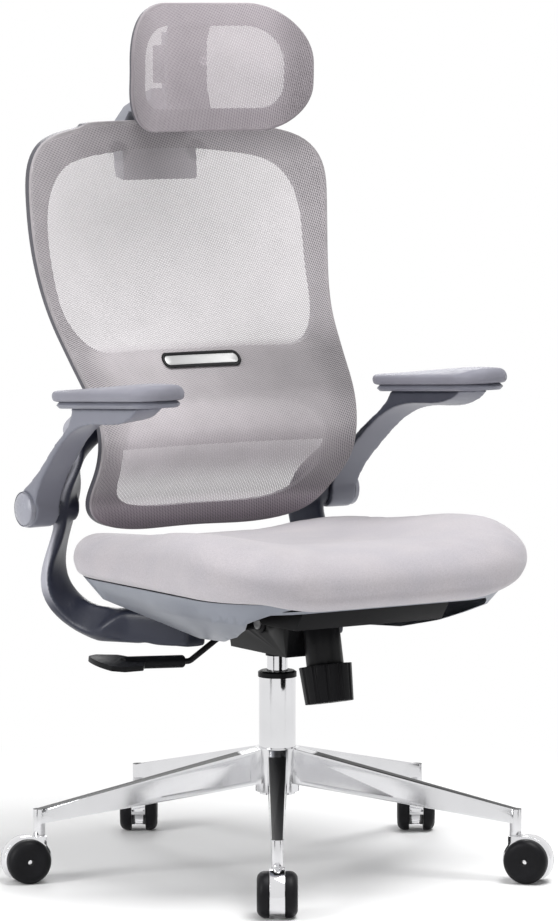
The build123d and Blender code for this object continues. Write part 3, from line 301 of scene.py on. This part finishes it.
def black_tops(finish, hub_radius):
    """Makes a casting's upward faces black outside the hub's radius."""
    facing = finish.add("ShaderNodeSeparateXYZ")
    finish.join(finish.add("ShaderNodeNewGeometry").outputs["Normal"], facing.inputs["Vector"])
    upward = finish.mask(facing.outputs["Z"], 0.80, 0.90)
    outside = finish.mask(finish.length(finish.scaled(1, 1, 0)), hub_radius, hub_radius + 0.004)
    black_top_surface = finish.add("ShaderNodeBsdfPrincipled")
    black_top_surface.inputs["Base Color"].default_value = (0.004, 0.004, 0.005, 1)
    black_top_surface.inputs["Roughness"].default_value = 0.35
    black_top_surface.inputs["Specular IOR Level"].default_value = 0.08
    finish.give_way(finish.sums("MULTIPLY", upward, outside), black_top_surface.outputs["BSDF"])


def painted_steel(name, colour, roughness):
    """Powder-coated steel with orange peel."""
    finish = Finish(name)
    cloud = finish.noise(12.0, 3.0)
    finish.join(finish.ramp(cloud, [(0.3, shade(colour, 0.85)), (0.7, shade(colour, 1.25))]),
                finish.surface.inputs["Base Color"])
    finish.join(finish.between(finish.noise(90.0, 3.0), roughness - 0.06, roughness + 0.08),
                finish.surface.inputs["Roughness"])
    finish.bump(finish.noise(700.0, 2.0), 0.3, 0.00015)
    return finish.material


def bare_steel(name, colour, roughness):
    """Turned steel with fine lines round the tool's path."""
    finish = Finish(name)
    lines = finish.noise(300.0, 3.0, finish.scaled(0.15, 0.15, 6))
    finish.join(finish.between(lines, roughness - 0.07, roughness + 0.12), finish.surface.inputs["Roughness"])
    finish.join(finish.ramp(lines, [(0.3, shade(colour, 0.9)), (0.7, shade(colour, 1.06))]),
                finish.surface.inputs["Base Color"])
    finish.bump(lines, 0.15, 0.00008)
    finish.set(Metallic=1.0)
    return finish.material


def rolling_rubber(name, colour, roughness):
    finish = Finish(name)
    dust = finish.noise(38.0, 5.0)
    finish.join(finish.ramp(dust, [(0.35, colour), (0.75, shade(colour, 1.8))]),
                finish.surface.inputs["Base Color"])
    finish.join(finish.between(dust, roughness - 0.08, roughness + 0.1), finish.surface.inputs["Roughness"])
    finish.bump(finish.noise(900.0, 2.0), 0.25, 0.0001)
    return finish.material


def knitted_cover(name, colour, warm):
    """Close-knitted seat cover: fine loops, soft mottling and a slight nap."""
    finish = Finish(name)
    loops = finish.noise(1100.0, 2.0, finish.scaled(1, 1.6, 1.6))
    tufts = finish.noise(520.0, 3.0)
    weave = finish.sums("ADD", finish.sums("MULTIPLY", loops, 0.55), finish.sums("MULTIPLY", tufts, 0.45))
    mottle = finish.noise(16.0, 4.0)
    base = finish.ramp(mottle, [(0.3, colour), (0.72, warm)])
    thread = finish.ramp(weave, [(0.30, (0.74, 0.74, 0.74)), (0.70, (1.0, 1.0, 1.0))])
    finish.join(finish.multiplied(base, thread), finish.surface.inputs["Base Color"])
    finish.bump(weave, 0.5, 0.0005)
    finish.set(Roughness=0.88, Sheen_Weight=0.35, Sheen_Roughness=0.45, Specular_IOR_Level=0.2)
    return finish.material


def open_mesh(name, thread, pitch_across, pitch_up, cover, slant):
    """Stretched elastic mesh: threads with small open eyes between them.

    The sheet's own closeness says where it is knitted closer, and its tone attribute how light it is, with
    painted light and shade in it.
    """
    finish = Finish(name)
    turned = finish.scaled(1, 1, 1, (0, slant, 0))
    split = finish.add("ShaderNodeSeparateXYZ")
    finish.join(turned, split.inputs["Vector"])
    across = finish.sums("MULTIPLY", split.outputs["X"], 2 * pi / pitch_across)
    up = finish.sums("MULTIPLY", split.outputs["Z"], 2 * pi / pitch_up)
    ribs = finish.sums("MULTIPLY", finish.sums("ADD", finish.sums("COSINE", across), 1.0), 0.5)
    rungs = finish.sums("MULTIPLY", finish.sums("ADD", finish.sums("COSINE", up), 1.0), 0.5)
    eye = finish.sums("MULTIPLY", ribs, rungs)
    dense = finish.add("ShaderNodeAttribute", attribute_name="closeness")
    brim = finish.sums("ADD", finish.sums("MULTIPLY", dense.outputs["Fac"], 0.45), cover)
    open_part = finish.add("ShaderNodeMapRange")
    open_part.inputs["To Min"].default_value = 1.0
    open_part.inputs["To Max"].default_value = 0.0
    finish.join(eye, open_part.inputs["Value"])
    finish.join(brim, open_part.inputs["From Min"])
    finish.join(finish.sums("ADD", brim, 0.30), open_part.inputs["From Max"])
    mottle = finish.noise(22.0, 3.0)
    tint = finish.ramp(mottle, [(0.3, shade(thread, 0.94)), (0.7, shade(thread, 1.05))])
    # the tone attribute carries painted light and shade into the thread colour
    tone_and_painted_light = finish.add("ShaderNodeAttribute", attribute_name="tone_and_painted_light")
    finish.join(finish.multiplied(tint, tone_and_painted_light.outputs["Color"]), finish.surface.inputs["Base Color"])
    finish.join(open_part.outputs["Result"], finish.surface.inputs["Alpha"])
    finish.bump(finish.sums("SUBTRACT", 1.0, eye), 0.4, 0.0004)
    finish.set(Roughness=0.75, Sheen_Weight=0.2, Specular_IOR_Level=0.3)
    return finish.material


base_cast = cast_aluminium("base_cast", (0.72, 0.72, 0.735), 0.15, hub_radius=0.052)
plated = cast_aluminium("plated_tube", (0.74, 0.74, 0.755), 0.08)
black_steel = painted_steel("black_coat", (0.008, 0.008, 0.009), 0.36)
steel = bare_steel("turned_steel", (0.56, 0.56, 0.57), 0.30)
black_plastic = moulded_plastic("black_moulding", (0.005, 0.005, 0.006), 0.40)
frame_plastic = moulded_plastic("frame_moulding", (0.085, 0.083, 0.098), 0.50)
arm_plastic = moulded_plastic("arm_moulding", (0.195, 0.200, 0.240), 0.34)
# the arms' body: its own grey painted on lit faces, and a dark copy of it as painted shade on its inward
# faces
arm_moulding = moulded_plastic("arm_body", (0.050, 0.054, 0.074), 0.36, lit_colour=(0.195, 0.200, 0.240))
cap_plastic = moulded_plastic("cap_moulding", (0.310, 0.315, 0.360), 0.26)
# the side bars: lit and shaded colours of one plastic, the pale one painted as light on outward faces above
# the lower bend, the dark one as painted shade
bar_plastic = moulded_plastic("bar_moulding", (0.022, 0.025, 0.042), 0.34, lit_colour=(0.400, 0.400, 0.450))
bridge_plastic = moulded_plastic("bridge_moulding", (0.030, 0.033, 0.050), 0.40)
shell_plastic = moulded_plastic("shell_moulding", (0.235, 0.250, 0.290), 0.36)
pad_skin = moulded_plastic("pad_skin", (0.255, 0.255, 0.295), 0.46, grain=0.0002)
mesh_cloth = open_mesh("open_mesh", (0.55, 0.515, 0.535), 0.0026, 0.0022, 0.14, 0.22)
rest_cloth = open_mesh("rest_mesh", (0.50, 0.46, 0.485), 0.0024, 0.0020, 0.36, 0.22)
seat_cloth = knitted_cover("seat_knit", (0.520, 0.495, 0.530), (0.575, 0.540, 0.565))
tread = rolling_rubber("wheel_rubber", (0.005, 0.005, 0.006), 0.42)
bracket_plastic = moulded_plastic("bracket_moulding", (0.270, 0.275, 0.310), 0.45)
for material, level in ((black_plastic, 0.12), (black_steel, 0.16), (tread, 0.14), (pad_skin, 0.14)):
    material.node_tree.nodes["Principled BSDF"].inputs["Specular IOR Level"].default_value = level
satin_trim = cast_aluminium("satin_trim", (0.30, 0.30, 0.30), 0.40)


# ------------------------------------------------------------------ hard pieces
def hard_piece(node, body, material, width, segments=2, sharp=40, smooth=35):
    """A hard node with its corners eased, in its own finish."""
    piece = eased(node, node + "_shown", width, segments, sharp)
    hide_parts(node)
    return finish_piece(piece, body, material, smooth)


def moulded_piece(node, body, material, voxel, rounds, calmed=(), lit_side=(0.60, 0.80),
                  lit_above=(0.345, 0.385)):
    """A moulding whose faces run into each other without a crease.

    calmed lists spots that are relaxed more: (centre, radius, rounds). A face is marked lit, for painted
    light, between the two bounds given for how far it looks outwards and the two given for its height; the
    rest keeps painted shade.
    """
    piece = copy_of(node, node + "_shown")
    even_out(piece, voxel, rounds)
    for centre, radius, turns in calmed:
        spot = piece.vertex_groups.new(name="spot")
        for vertex in piece.data.vertices:
            near = 1 - rise((Vector((abs(vertex.co.x), vertex.co.y, vertex.co.z)) - Vector(centre)).length,
                            radius * 0.5, radius)
            if near > 0:
                spot.add([vertex.index], near, "REPLACE")
        relax(piece, turns, spot.name)
        apply_all(piece)
    # painted light: outward faces above a height are marked lit, the others stay in painted shade
    lit_faces = piece.data.attributes.new("painted_lit_side", "FLOAT", "POINT")
    for vertex, value in zip(piece.data.vertices, lit_faces.data):
        outward = rise(vertex.normal.x * (1 if vertex.co.x > 0 else -1), *lit_side)
        value.value = outward * rise(vertex.co.z, *lit_above)
    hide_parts(node)
    return finish_piece(piece, body, material, 60)


def rolled_grid(name, rings, steps, place_of):
    """A grid rolled round its middle: rings outwards, steps round. Its seam and its middle are closed."""
    deselect()
    bpy.ops.mesh.primitive_grid_add(x_subdivisions=steps, y_subdivisions=rings, size=1)
    piece = bpy.context.object
    piece.name = name
    for vertex in piece.data.vertices:
        step, ring = round((vertex.co.x + 0.5) * steps), round((vertex.co.y + 0.5) * rings)
        vertex.co = place_of(ring, step % steps)
    merge_points(piece, 0.00001)
    return piece


def domed_cap(side):
    """The round cap over the arm's pivot: a domed disc in a narrow dark groove."""
    node = "arm_cap_" + side
    lo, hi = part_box(node)
    outward = 1 if side == "right" else -1
    face = hi.x if outward > 0 else lo.x
    middle = (lo + hi) / 2
    radius = (hi.z - lo.z) / 2
    # (share of the radius, height over the CAD face) from the middle out to the rim and down its side
    profile = [(0.0, 0.0030), (0.35, 0.0025), (0.65, 0.0008), (0.85, -0.0014), (0.93, -0.0030),
               (0.945, -0.0046), (0.975, -0.0046), (0.985, -0.0026), (1.0, -0.0030), (1.0, -0.0088)]
    steps = 64

    def place_of(ring, step):
        part, height = profile[ring]
        turn = 2 * pi * step / steps
        return (face + outward * height, middle.y + radius * part * cos(turn),
                middle.z + radius * part * sin(turn))

    piece = rolled_grid(node + "_shown", len(profile) - 1, steps, place_of)
    bpy.ops.object.mode_set(mode="EDIT")
    bpy.ops.mesh.select_all(action="SELECT")
    bpy.ops.mesh.fill_holes(sides=0)
    bpy.ops.mesh.normals_make_consistent(inside=False)
    bpy.ops.object.mode_set(mode="OBJECT")
    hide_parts(node)
    return finish_piece(piece, "arm_" + side, cap_plastic, 35)


def kept_node(node, material):
    """A CAD node whose shape is right already: only its finish changes."""
    nodes[node].data.materials.clear()
    nodes[node].data.materials.append(material)


hard_piece("star_base", "base", base_cast, 0.0018, 3, 35)
for number in range(1, 6):
    caster = f"caster_{number}"
    hard_piece(caster + "_fork", caster, plated, 0.0006)
    for side in ("a", "b"):
        hard_piece(f"{caster}_wheel_{side}", f"{caster}_wheel_{side}", tread, 0.0005, 2, 30)
for node in ("caster_stems", "lift_piston_rod", "lift_thrust_bearing", "tension_bolt", "tilt_spindle",
             "seat_bolts", "arm_pivot_bolts", "back_screws", "tension_spring", "valve_button"):
    kept_node(node, steel)
for node in ("lift_outer_tube", "lift_cylinder"):
    kept_node(node, plated)
for node in ("lift_guide_bush", "column_sleeve", "lift_collar", "lever_bush"):
    kept_node(node, black_plastic)
kept_node("seat_board", black_steel)
hard_piece("mech_housing", "column", black_steel, 0.0010)
hard_piece("tilt_plate", "seat_frame", black_steel, 0.0008)
hard_piece("tension_knob", "tension_knob", black_plastic, 0.0006)
hard_piece("lever_rod", "lever", black_steel, 0.0004)
hard_piece("lever_grip", "lever", black_plastic, 0.0006)
hard_piece("seat_pan", "seat_frame", black_plastic, 0.0015)
hard_piece("seat_shell", "seat_frame", shell_plastic, 0.0010, 2, 50, 40)
hard_piece("back_frame", "seat_frame", frame_plastic, 0.0010, 2, 45, 40)
hard_piece("waist_bridge", "seat_frame", bridge_plastic, 0.0010, 2, 45, 40)
hard_piece("headrest_bracket", "seat_frame", bracket_plastic, 0.0060, 4)
hard_piece("headrest_slider", "headrest_slider", frame_plastic, 0.0008)
hard_piece("headrest_frame", "headrest", frame_plastic, 0.0008, 2, 45, 40)
hard_piece("trim_surround", "seat_frame", black_plastic, 0.0008)
hard_piece("trim_bar", "seat_frame", satin_trim, 0.0015, 3)
for side in ("left", "right"):
    # painted light and shade: the bars' outward faces above their bend and the arms' faces that don't look
    # inward are lit, the rest is shade
    moulded_piece("side_bar_" + side, "seat_frame", bar_plastic, 0.0022, 10,
                  [((0.165, 0.100, 0.335), 0.050, 60)])
    moulded_piece("arm_" + side, "arm_" + side, arm_moulding, 0.0020, 14,
                  lit_side=(-0.75, -0.10), lit_above=(0.0, 0.1))
    domed_cap(side)
    hard_piece("arm_plate_" + side, "arm_" + side, arm_plastic, 0.0012)


# ------------------------------------------------------------------ arm pads
def arm_pad(side):
    """A self-skinned foam pad: soft rims and a top that is crowned across and falls towards its ends."""
    node = "arm_pad_" + side
    piece = copy_of(node, node + "_shown")
    even_out(piece, 0.0025, 8)
    lo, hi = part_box(node)
    centre = (lo + hi) / 2
    reach = (hi - lo) / 2
    for vertex in piece.data.vertices:
        across = (vertex.co.x - centre.x) / reach.x
        along = (vertex.co.y - centre.y) / reach.y
        top = max(0.0, (vertex.co.z - centre.z) / reach.z)
        crown = (1 - across ** 2) * (1 - 0.6 * along ** 4)
        vertex.co.z += top * (0.0020 + 0.0080 * crown - 0.0030 * rise(abs(across), 0.55, 0.95))
    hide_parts(node)
    return finish_piece(piece, "arm_" + side, pad_skin, 60)


for side in ("left", "right"):
    arm_pad(side)


# ------------------------------------------------------------------ stretched mesh
BACK_MIDDLE = (0.0, 0.745)      # x and z of the point that the back's sheet is laid out round
REST_MIDDLE = (0.0, 1.085)      # the same for the headrest's
HALVINGS = 22                   # steps of the search for a node's edge
RIM_SHARE = 0.9965              # the sheet is measured no further out than this share of the way to the edge
LIES_ON = 0.008                 # a frame no further behind the cloth than this carries it
SAG_ROUNDS = 160                # rounds of the easing that lets the cloth dip
SAG_STEP = 0.00002              # how much a round adds where nothing carries the cloth


def front_of(node):
    """Looks for a node's front face: where a line running backwards from the front first meets it."""
    mesh = nodes[node].data
    tree = BVHTree.FromPolygons([v.co for v in mesh.vertices], [tuple(p.vertices) for p in mesh.polygons])

    def look(x, z):
        found = tree.ray_cast(Vector((x, -1.0, z)), Vector((0, 1, 0)))[0]
        return None if found is None else found.y

    return look


def reach_round(look, centre, count, far):
    """How far a node's front face reaches round its centre, as points in the front view."""
    rim = []
    for step in range(count):
        turn = 2 * pi * step / count
        near_edge, past_edge = 0.0, far
        for _ in range(HALVINGS):
            middle = (near_edge + past_edge) / 2
            inside = look(centre[0] + middle * cos(turn), centre[1] + middle * sin(turn)) is not None
            near_edge, past_edge = (middle, past_edge) if inside else (near_edge, middle)
        rim.append((centre[0] + near_edge * cos(turn), centre[1] + near_edge * sin(turn)))
    return rim


def stretched_sheet(name, node, support, centre, far, rings, count, slack, lift, turn_under):
    """Elastic mesh pulled over a frame: it lies on the frame and dips a little where nothing is behind it."""
    look, behind = front_of(node), front_of(support)
    rim = reach_round(look, centre, count, far)
    parts = [1 - (1 - ring / rings) ** 1.35 for ring in range(rings + 1)]
    grid = []
    for part in parts:
        row = []
        for x_rim, z_rim in rim:
            inward = min(part, RIM_SHARE)
            x = centre[0] + (x_rim - centre[0]) * inward
            z = centre[1] + (z_rim - centre[1]) * inward
            face = look(x, z)
            back = behind(x, z)
            row.append([x, face, z, back is not None and face is not None and back - face < LIES_ON])
        grid.append(row)
    for row, inner in zip(grid[1:], grid):
        for point, before in zip(row, inner):
            if point[1] is None:
                point[1] = before[1]
    dip = [[0.0] * count for _ in grid]
    for _ in range(SAG_ROUNDS):
        for ring in range(rings - 1, 0, -1):
            above, here, below = dip[ring - 1], dip[ring], dip[ring + 1]
            row = grid[ring]
            for step in range(count):
                if row[step][3]:
                    continue
                around = above[step] + below[step] + here[step - 1] + here[(step + 1) % count]
                here[step] = 0.25 * around + SAG_STEP
        dip[0] = [sum(dip[1]) / count] * count
    deepest = max(max(row) for row in dip) or 1.0
    points = [[(x, y - lift + slack * depth / deepest, z) for (x, y, z, _), depth in zip(row, sunk)]
              for row, sunk in zip(grid, dip)]
    last = grid[-1]
    for out, back in turn_under:
        turned = []
        for step, (x, y, z, _) in enumerate(last):
            ahead, behind_it = last[(step + 1) % count], last[step - 1]
            along = Vector((ahead[0] - behind_it[0], ahead[2] - behind_it[2])).normalized()
            turned.append((x + along.y * out, y - lift + back, z - along.x * out))
        points.append(turned)
    piece = rolled_grid(name, len(points) - 1, count, lambda ring, step: points[ring][step])
    bpy.ops.object.mode_set(mode="EDIT")
    bpy.ops.mesh.select_all(action="SELECT")
    bpy.ops.mesh.normals_make_consistent(inside=False)
    bpy.ops.object.mode_set(mode="OBJECT")
    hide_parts(node)
    return piece, rim


def knit(piece, tone_and_light_at, closeness_at):
    """Gives each point of a sheet its tone, which carries painted light and shade, and how closely it is
    knitted there.
    """
    piece.data.attributes.new("closeness", "FLOAT", "POINT")
    piece.data.color_attributes.new("tone_and_painted_light", "FLOAT_COLOR", "POINT")
    tones_and_light, closeness = piece.data.attributes["tone_and_painted_light"], piece.data.attributes["closeness"]
    for vertex, tone_and_painted_light, close in zip(piece.data.vertices, tones_and_light.data, closeness.data):
        tone_and_painted_light.color = (*tone_and_light_at(vertex.co), 1.0)
        close.value = closeness_at(vertex.co)


def at_height(table, height):
    """Reads a table of (height, left, right) between its lines."""
    for (low, *first), (high, *second) in zip(table, table[1:]):
        if height <= high:
            part = max(0.0, (height - low) / (high - low))
            return [before + (after - before) * part for before, after in zip(first, second)]
    return table[-1][1:]


def hem_part(place, rim, centre):
    """How far a point lies in the sheet's bound edge."""
    step = atan2(place.z - centre[1], place.x - centre[0]) / (2 * pi) * len(rim) % len(rim)
    x, z = rim[int(step) % len(rim)]
    out = hypot(place.x - centre[0], place.z - centre[1]) / hypot(x - centre[0], z - centre[1])
    return rise(out, 0.984, 0.996)


# painted light and shade in the back's cloth at each height: (height, at its left, at its right)
BACK_PAINTED_LIGHT = [(0.448, 0.42, 0.40), (0.468, 0.90, 0.80), (0.484, 1.10, 1.10), (0.496, 0.70, 0.70),
              (0.530, 0.92, 0.86), (0.590, 1.32, 0.92), (0.618, 1.20, 0.74), (0.640, 0.96, 0.54),
              (0.686, 0.96, 0.48), (0.702, 0.92, 0.56), (0.730, 0.90, 0.72), (0.780, 1.00, 0.90),
              (0.860, 1.10, 1.00), (0.950, 1.15, 0.96), (0.990, 1.10, 0.66), (1.020, 1.00, 0.80)]
# x and z of the two small darker spots at the top, and the radii that they fade between
LOBES = [(-0.078, 0.966), (0.052, 0.966)]
LOBE_FADE = (0.013, 0.017)
# the open field over the lower back: its middle's height, half its width and half its height
WINDOW_LEVEL = 0.554
WINDOW_REACH = (0.162, 0.074)
# x and z of the screw head under the headrest's cloth, and the radius of its ring
SCREW_HEAD = (-0.005, 1.091)
SCREW_RING = 0.0045


def in_window(place):
    """1 inside the open field over the lower back, 0 outside it."""
    across = (abs(place.x) / WINDOW_REACH[0]) ** 4
    up = (abs(place.z - WINDOW_LEVEL) / WINDOW_REACH[1]) ** 4
    return 1 - rise(across + up, 0.88, 1.06)


def back_closeness(place):
    """The back is knitted closer at its waist and in its hem."""
    waist = rise(place.z, 0.505, 0.555) * (1 - rise(place.z, 0.694, 0.706))
    waist *= 1 - rise(abs(place.x), 0.145, 0.200)
    return max(waist, 2 * hem_part(place, back_rim, BACK_MIDDLE))


def back_tone_and_painted_light(place):
    """Red, green and blue shares of the cloth's own colour at a place on the back. They carry painted light
    and shade, by height and from left to right, are darker in the hem, outside the open field at the waist
    and in two small spots at the top, and a little less green near the bottom.
    """
    left, right = at_height(BACK_PAINTED_LIGHT, place.z)
    light = left + (right - left) * rise(place.x, -0.13, 0.15)
    light *= 1 - 0.10 * (1 - in_window(place)) * rise(place.z, 0.50, 0.53) * (1 - rise(place.z, 0.66, 0.70))
    light *= 1 - 0.38 * hem_part(place, back_rim, BACK_MIDDLE)
    for x, z in LOBES:
        light *= 1 - 0.22 * (1 - rise(hypot(place.x - x, place.z - z), *LOBE_FADE))
    low = 1 - rise(place.z, 0.455, 0.520)
    return light, light * (1 - 0.07 * low), light


def rest_closeness(place):
    return 2 * hem_part(place, rest_rim, REST_MIDDLE)


def rest_tone_and_painted_light(place):
    """The same shares for the headrest: painted shade towards its ends, darker in its hem, with the faint
    lighter ring of a screw.
    """
    light = 0.97 - (0.34 if place.x > 0 else 0.24) * rise(abs(place.x), 0.085, 0.135)
    light *= 1 - 0.30 * hem_part(place, rest_rim, REST_MIDDLE)
    off_ring = abs(hypot(place.x - SCREW_HEAD[0], place.z - SCREW_HEAD[1]) - SCREW_RING)
    light *= 1 + 0.25 * (1 - rise(off_ring, 0.0008, 0.0018))
    return light, light * 0.985, light


back_sheet, back_rim = stretched_sheet("back_sheet", "back_mesh", "back_frame", BACK_MIDDLE, 0.5, 56,
                                       220, 0.0030, 0.0006,
                                       [(0.0008, 0.0006), (0.0014, 0.0020), (0.0014, 0.0045)])
knit(back_sheet, back_tone_and_painted_light, back_closeness)
finish_piece(back_sheet, "seat_frame", mesh_cloth, 60)
rest_sheet, rest_rim = stretched_sheet("rest_sheet", "headrest_mesh", "headrest_frame", REST_MIDDLE, 0.3, 34,
                                       160, 0.0016, 0.0006,
                                       [(0.0010, 0.0008), (0.0018, 0.0026), (0.0016, 0.0055)])
knit(rest_sheet, rest_tone_and_painted_light, rest_closeness)
finish_piece(rest_sheet, "headrest", rest_cloth, 60)


# ------------------------------------------------------------------ seat cushion
SWELL_FRAMES = 20               # length of the cloth run
MOST_SWELL = 0.004              # no point of the cover moves further than this in it
TACKED_BELOW = 0.007            # the cover is held up to this height over its lower edge


def bowed(place, lo, hi):
    """The cushion's foam: dished at its rear, high along the thighs, its nose rolling down over the rim."""
    x, y, z = place
    front = 1 - rise(y, lo.y + 0.02, lo.y + 0.22)
    height = max(0.0, min(1.0, (z - lo.z) / (hi.z - lo.z)))
    flank = rise(abs(x), 0.06, 0.22)
    belly = 4 * height * (1 - height)
    thigh = exp(-((y + 0.12) / 0.13) ** 2)
    nose = rise(-y, 0.15, 0.29)
    x *= 1 + 0.030 * belly * front + 0.014 * belly + 0.012 * front
    y = (y - 0.02) * (1 + 0.024 * belly * front + 0.008 * belly + 0.022 * front) + 0.02
    z += height * (0.004 + 0.015 * thigh * flank - 0.015 * (1 - flank) * (1 - front)
                   - 0.012 * nose * (1 - 0.4 * flank))
    beyond = rise(lo.y + 0.040 - place.y, 0.0, 0.018) * (1 - rise(abs(place.x), 0.11, 0.22))
    z -= 0.0125 * beyond * (1 - height)
    return Vector((x, y, z))


def seat_pad():
    """Foam under a close-knitted cover: swelled by a cloth run, held where it is tacked under its edge."""
    piece = copy_of("seat_cushion", "seat_pad")
    even_out(piece, 0.0055, 4)
    lo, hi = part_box("seat_cushion")
    mesh = piece.data
    for vertex in mesh.vertices:
        vertex.co = bowed(vertex.co, lo, hi)
    held = piece.vertex_groups.new(name="held")
    held.add([v.index for v in mesh.vertices if v.co.z < lo.z + TACKED_BELOW], 1.0, "REPLACE")
    start = [v.co.copy() for v in mesh.vertices]
    cloth = piece.modifiers.new("cover", "CLOTH")
    cloth.settings.quality = 5
    cloth.settings.mass = 0.3
    cloth.settings.tension_stiffness = 25
    cloth.settings.compression_stiffness = 25
    cloth.settings.shear_stiffness = 10
    cloth.settings.bending_stiffness = 2.0
    cloth.settings.use_pressure = True
    cloth.settings.uniform_pressure_force = 4.0
    cloth.settings.vertex_group_mass = "held"
    cloth.settings.effector_weights.gravity = 0.0
    cloth.point_cache.frame_start = 1
    cloth.point_cache.frame_end = SWELL_FRAMES
    for moment in range(1, SWELL_FRAMES + 1):
        bpy.context.scene.frame_set(moment)
    apply_all(piece)
    bpy.context.scene.frame_set(1)
    for vertex, before in zip(mesh.vertices, start):
        move = vertex.co - before
        if move.length > MOST_SWELL:
            vertex.co = before + move * (MOST_SWELL / move.length)
    relax(piece, 3)
    round_over = piece.modifiers.new("round", "SUBSURF")
    round_over.levels = 1
    apply_all(piece)
    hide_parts("seat_cushion")
    return finish_piece(piece, "seat_frame", seat_cloth, 60)


seat_pad()

# ------------------------------------------------------------------ floor, light and camera
scene = bpy.context.scene
scene.view_settings.view_transform = "Standard"


def studio_floor():
    """A pale floor: it keeps the shadow near the chair, and is seen white further away."""
    bpy.ops.mesh.primitive_plane_add(size=60, location=(0, 0, 0))
    floor = bpy.context.object
    floor.name = "studio_floor"
    settle(floor)
    paint = Finish("studio_floor")
    paint.join(paint.ramp(paint.noise(0.3), [(0.0, (0.93, 0.93, 0.93)), (1.0, (0.95, 0.95, 0.95))]),
               paint.surface.inputs["Base Color"])
    paint.set(Roughness=0.9, Specular_IOR_Level=0.1)
    far = paint.mask(paint.length(paint.place), 0.30, 1.10, interpolation_type="SMOOTHSTEP")
    lit = paint.add("ShaderNodeEmission")
    paint.give_way(paint.sums("MULTIPLY", far, paint.looked_at()), lit.outputs["Emission"])
    floor.data.materials.append(paint.material)
    return floor


def dark_card(name, place, size, turn):
    """A dark studio card that the camera doesn't see: it gives the polished metal its dark bands."""
    bpy.ops.mesh.primitive_plane_add(size=1, location=place, rotation=(radians(90), 0, radians(turn)))
    card = bpy.context.object
    card.name = name
    card.scale = (size[0], size[1], 1)
    settle(card)
    paint = Finish(name)
    paint.join(paint.ramp(paint.noise(2.0), [(0.0, (0.010, 0.010, 0.012)), (1.0, (0.020, 0.020, 0.022))]),
               paint.surface.inputs["Base Color"])
    paint.set(Roughness=0.9, Specular_IOR_Level=0.1)
    paint.give_way(paint.add("ShaderNodeLightPath").outputs["Is Camera Ray"],
                   paint.add("ShaderNodeBsdfTransparent").outputs["BSDF"])
    card.data.materials.append(paint.material)
    return card


def soft_lamp(name, place, aim, size, power):
    lamp = bpy.data.lights.new(name, "AREA")
    lamp.shape = "RECTANGLE"
    lamp.size, lamp.size_y = size
    lamp.energy = power
    piece = bpy.data.objects.new(name, lamp)
    bpy.context.collection.objects.link(piece)
    piece.location = place
    piece.rotation_euler = (Vector(aim) - Vector(place)).to_track_quat("-Z", "Y").to_euler()
    return piece


floor = studio_floor()
lamps = [soft_lamp("key", (0.5, -1.3, 4.4), (0, 0, 0.5), (2.2, 2.2), 165),
         soft_lamp("side", (-3.8, -0.2, 2.0), (0, 0, 0.6), (1.4, 2.6), 90),
         soft_lamp("rim", (1.8, 3.4, 2.8), (0, 0, 0.7), (1.8, 1.8), 60)]
cards = [dark_card("card_left", (-1.74, -0.52, 0.45), (0.45, 0.9), 105),
         dark_card("card_right", (0.55, -1.75, 0.45), (0.40, 0.9), 17),
         dark_card("card_far", (1.95, -0.65, 0.45), (0.50, 0.9), 70)]
world = bpy.data.worlds.new("studio")
world.use_nodes = True
scene.world = world
sky = Nodes(world.node_tree)
light = sky.tree.nodes["Background"]
backdrop = sky.add("ShaderNodeBackground")
for shader, strength in ((light, 0.34), (backdrop, 1.0)):
    shader.inputs["Color"].default_value = (1, 1, 1, 1)
    shader.inputs["Strength"].default_value = strength
sky.show(sky.looked_at(), light.outputs["Background"], backdrop.outputs["Background"], "World Output")

# the camera looks down by its pitch and is turned by its heading
PITCH = 5.589
HEADING = -33
lens = bpy.data.cameras.new("camera")
lens.lens = 183.37
lens.sensor_width = lens.sensor_height = 36
lens.sensor_fit = "VERTICAL"
lens.shift_x = 0.0015
camera = bpy.data.objects.new("camera", lens)
bpy.context.collection.objects.link(camera)
camera.location = (-3.431, -5.284, 1.1722)
camera.rotation_euler = (radians(90 - PITCH), 0, radians(HEADING))
scene.camera = camera
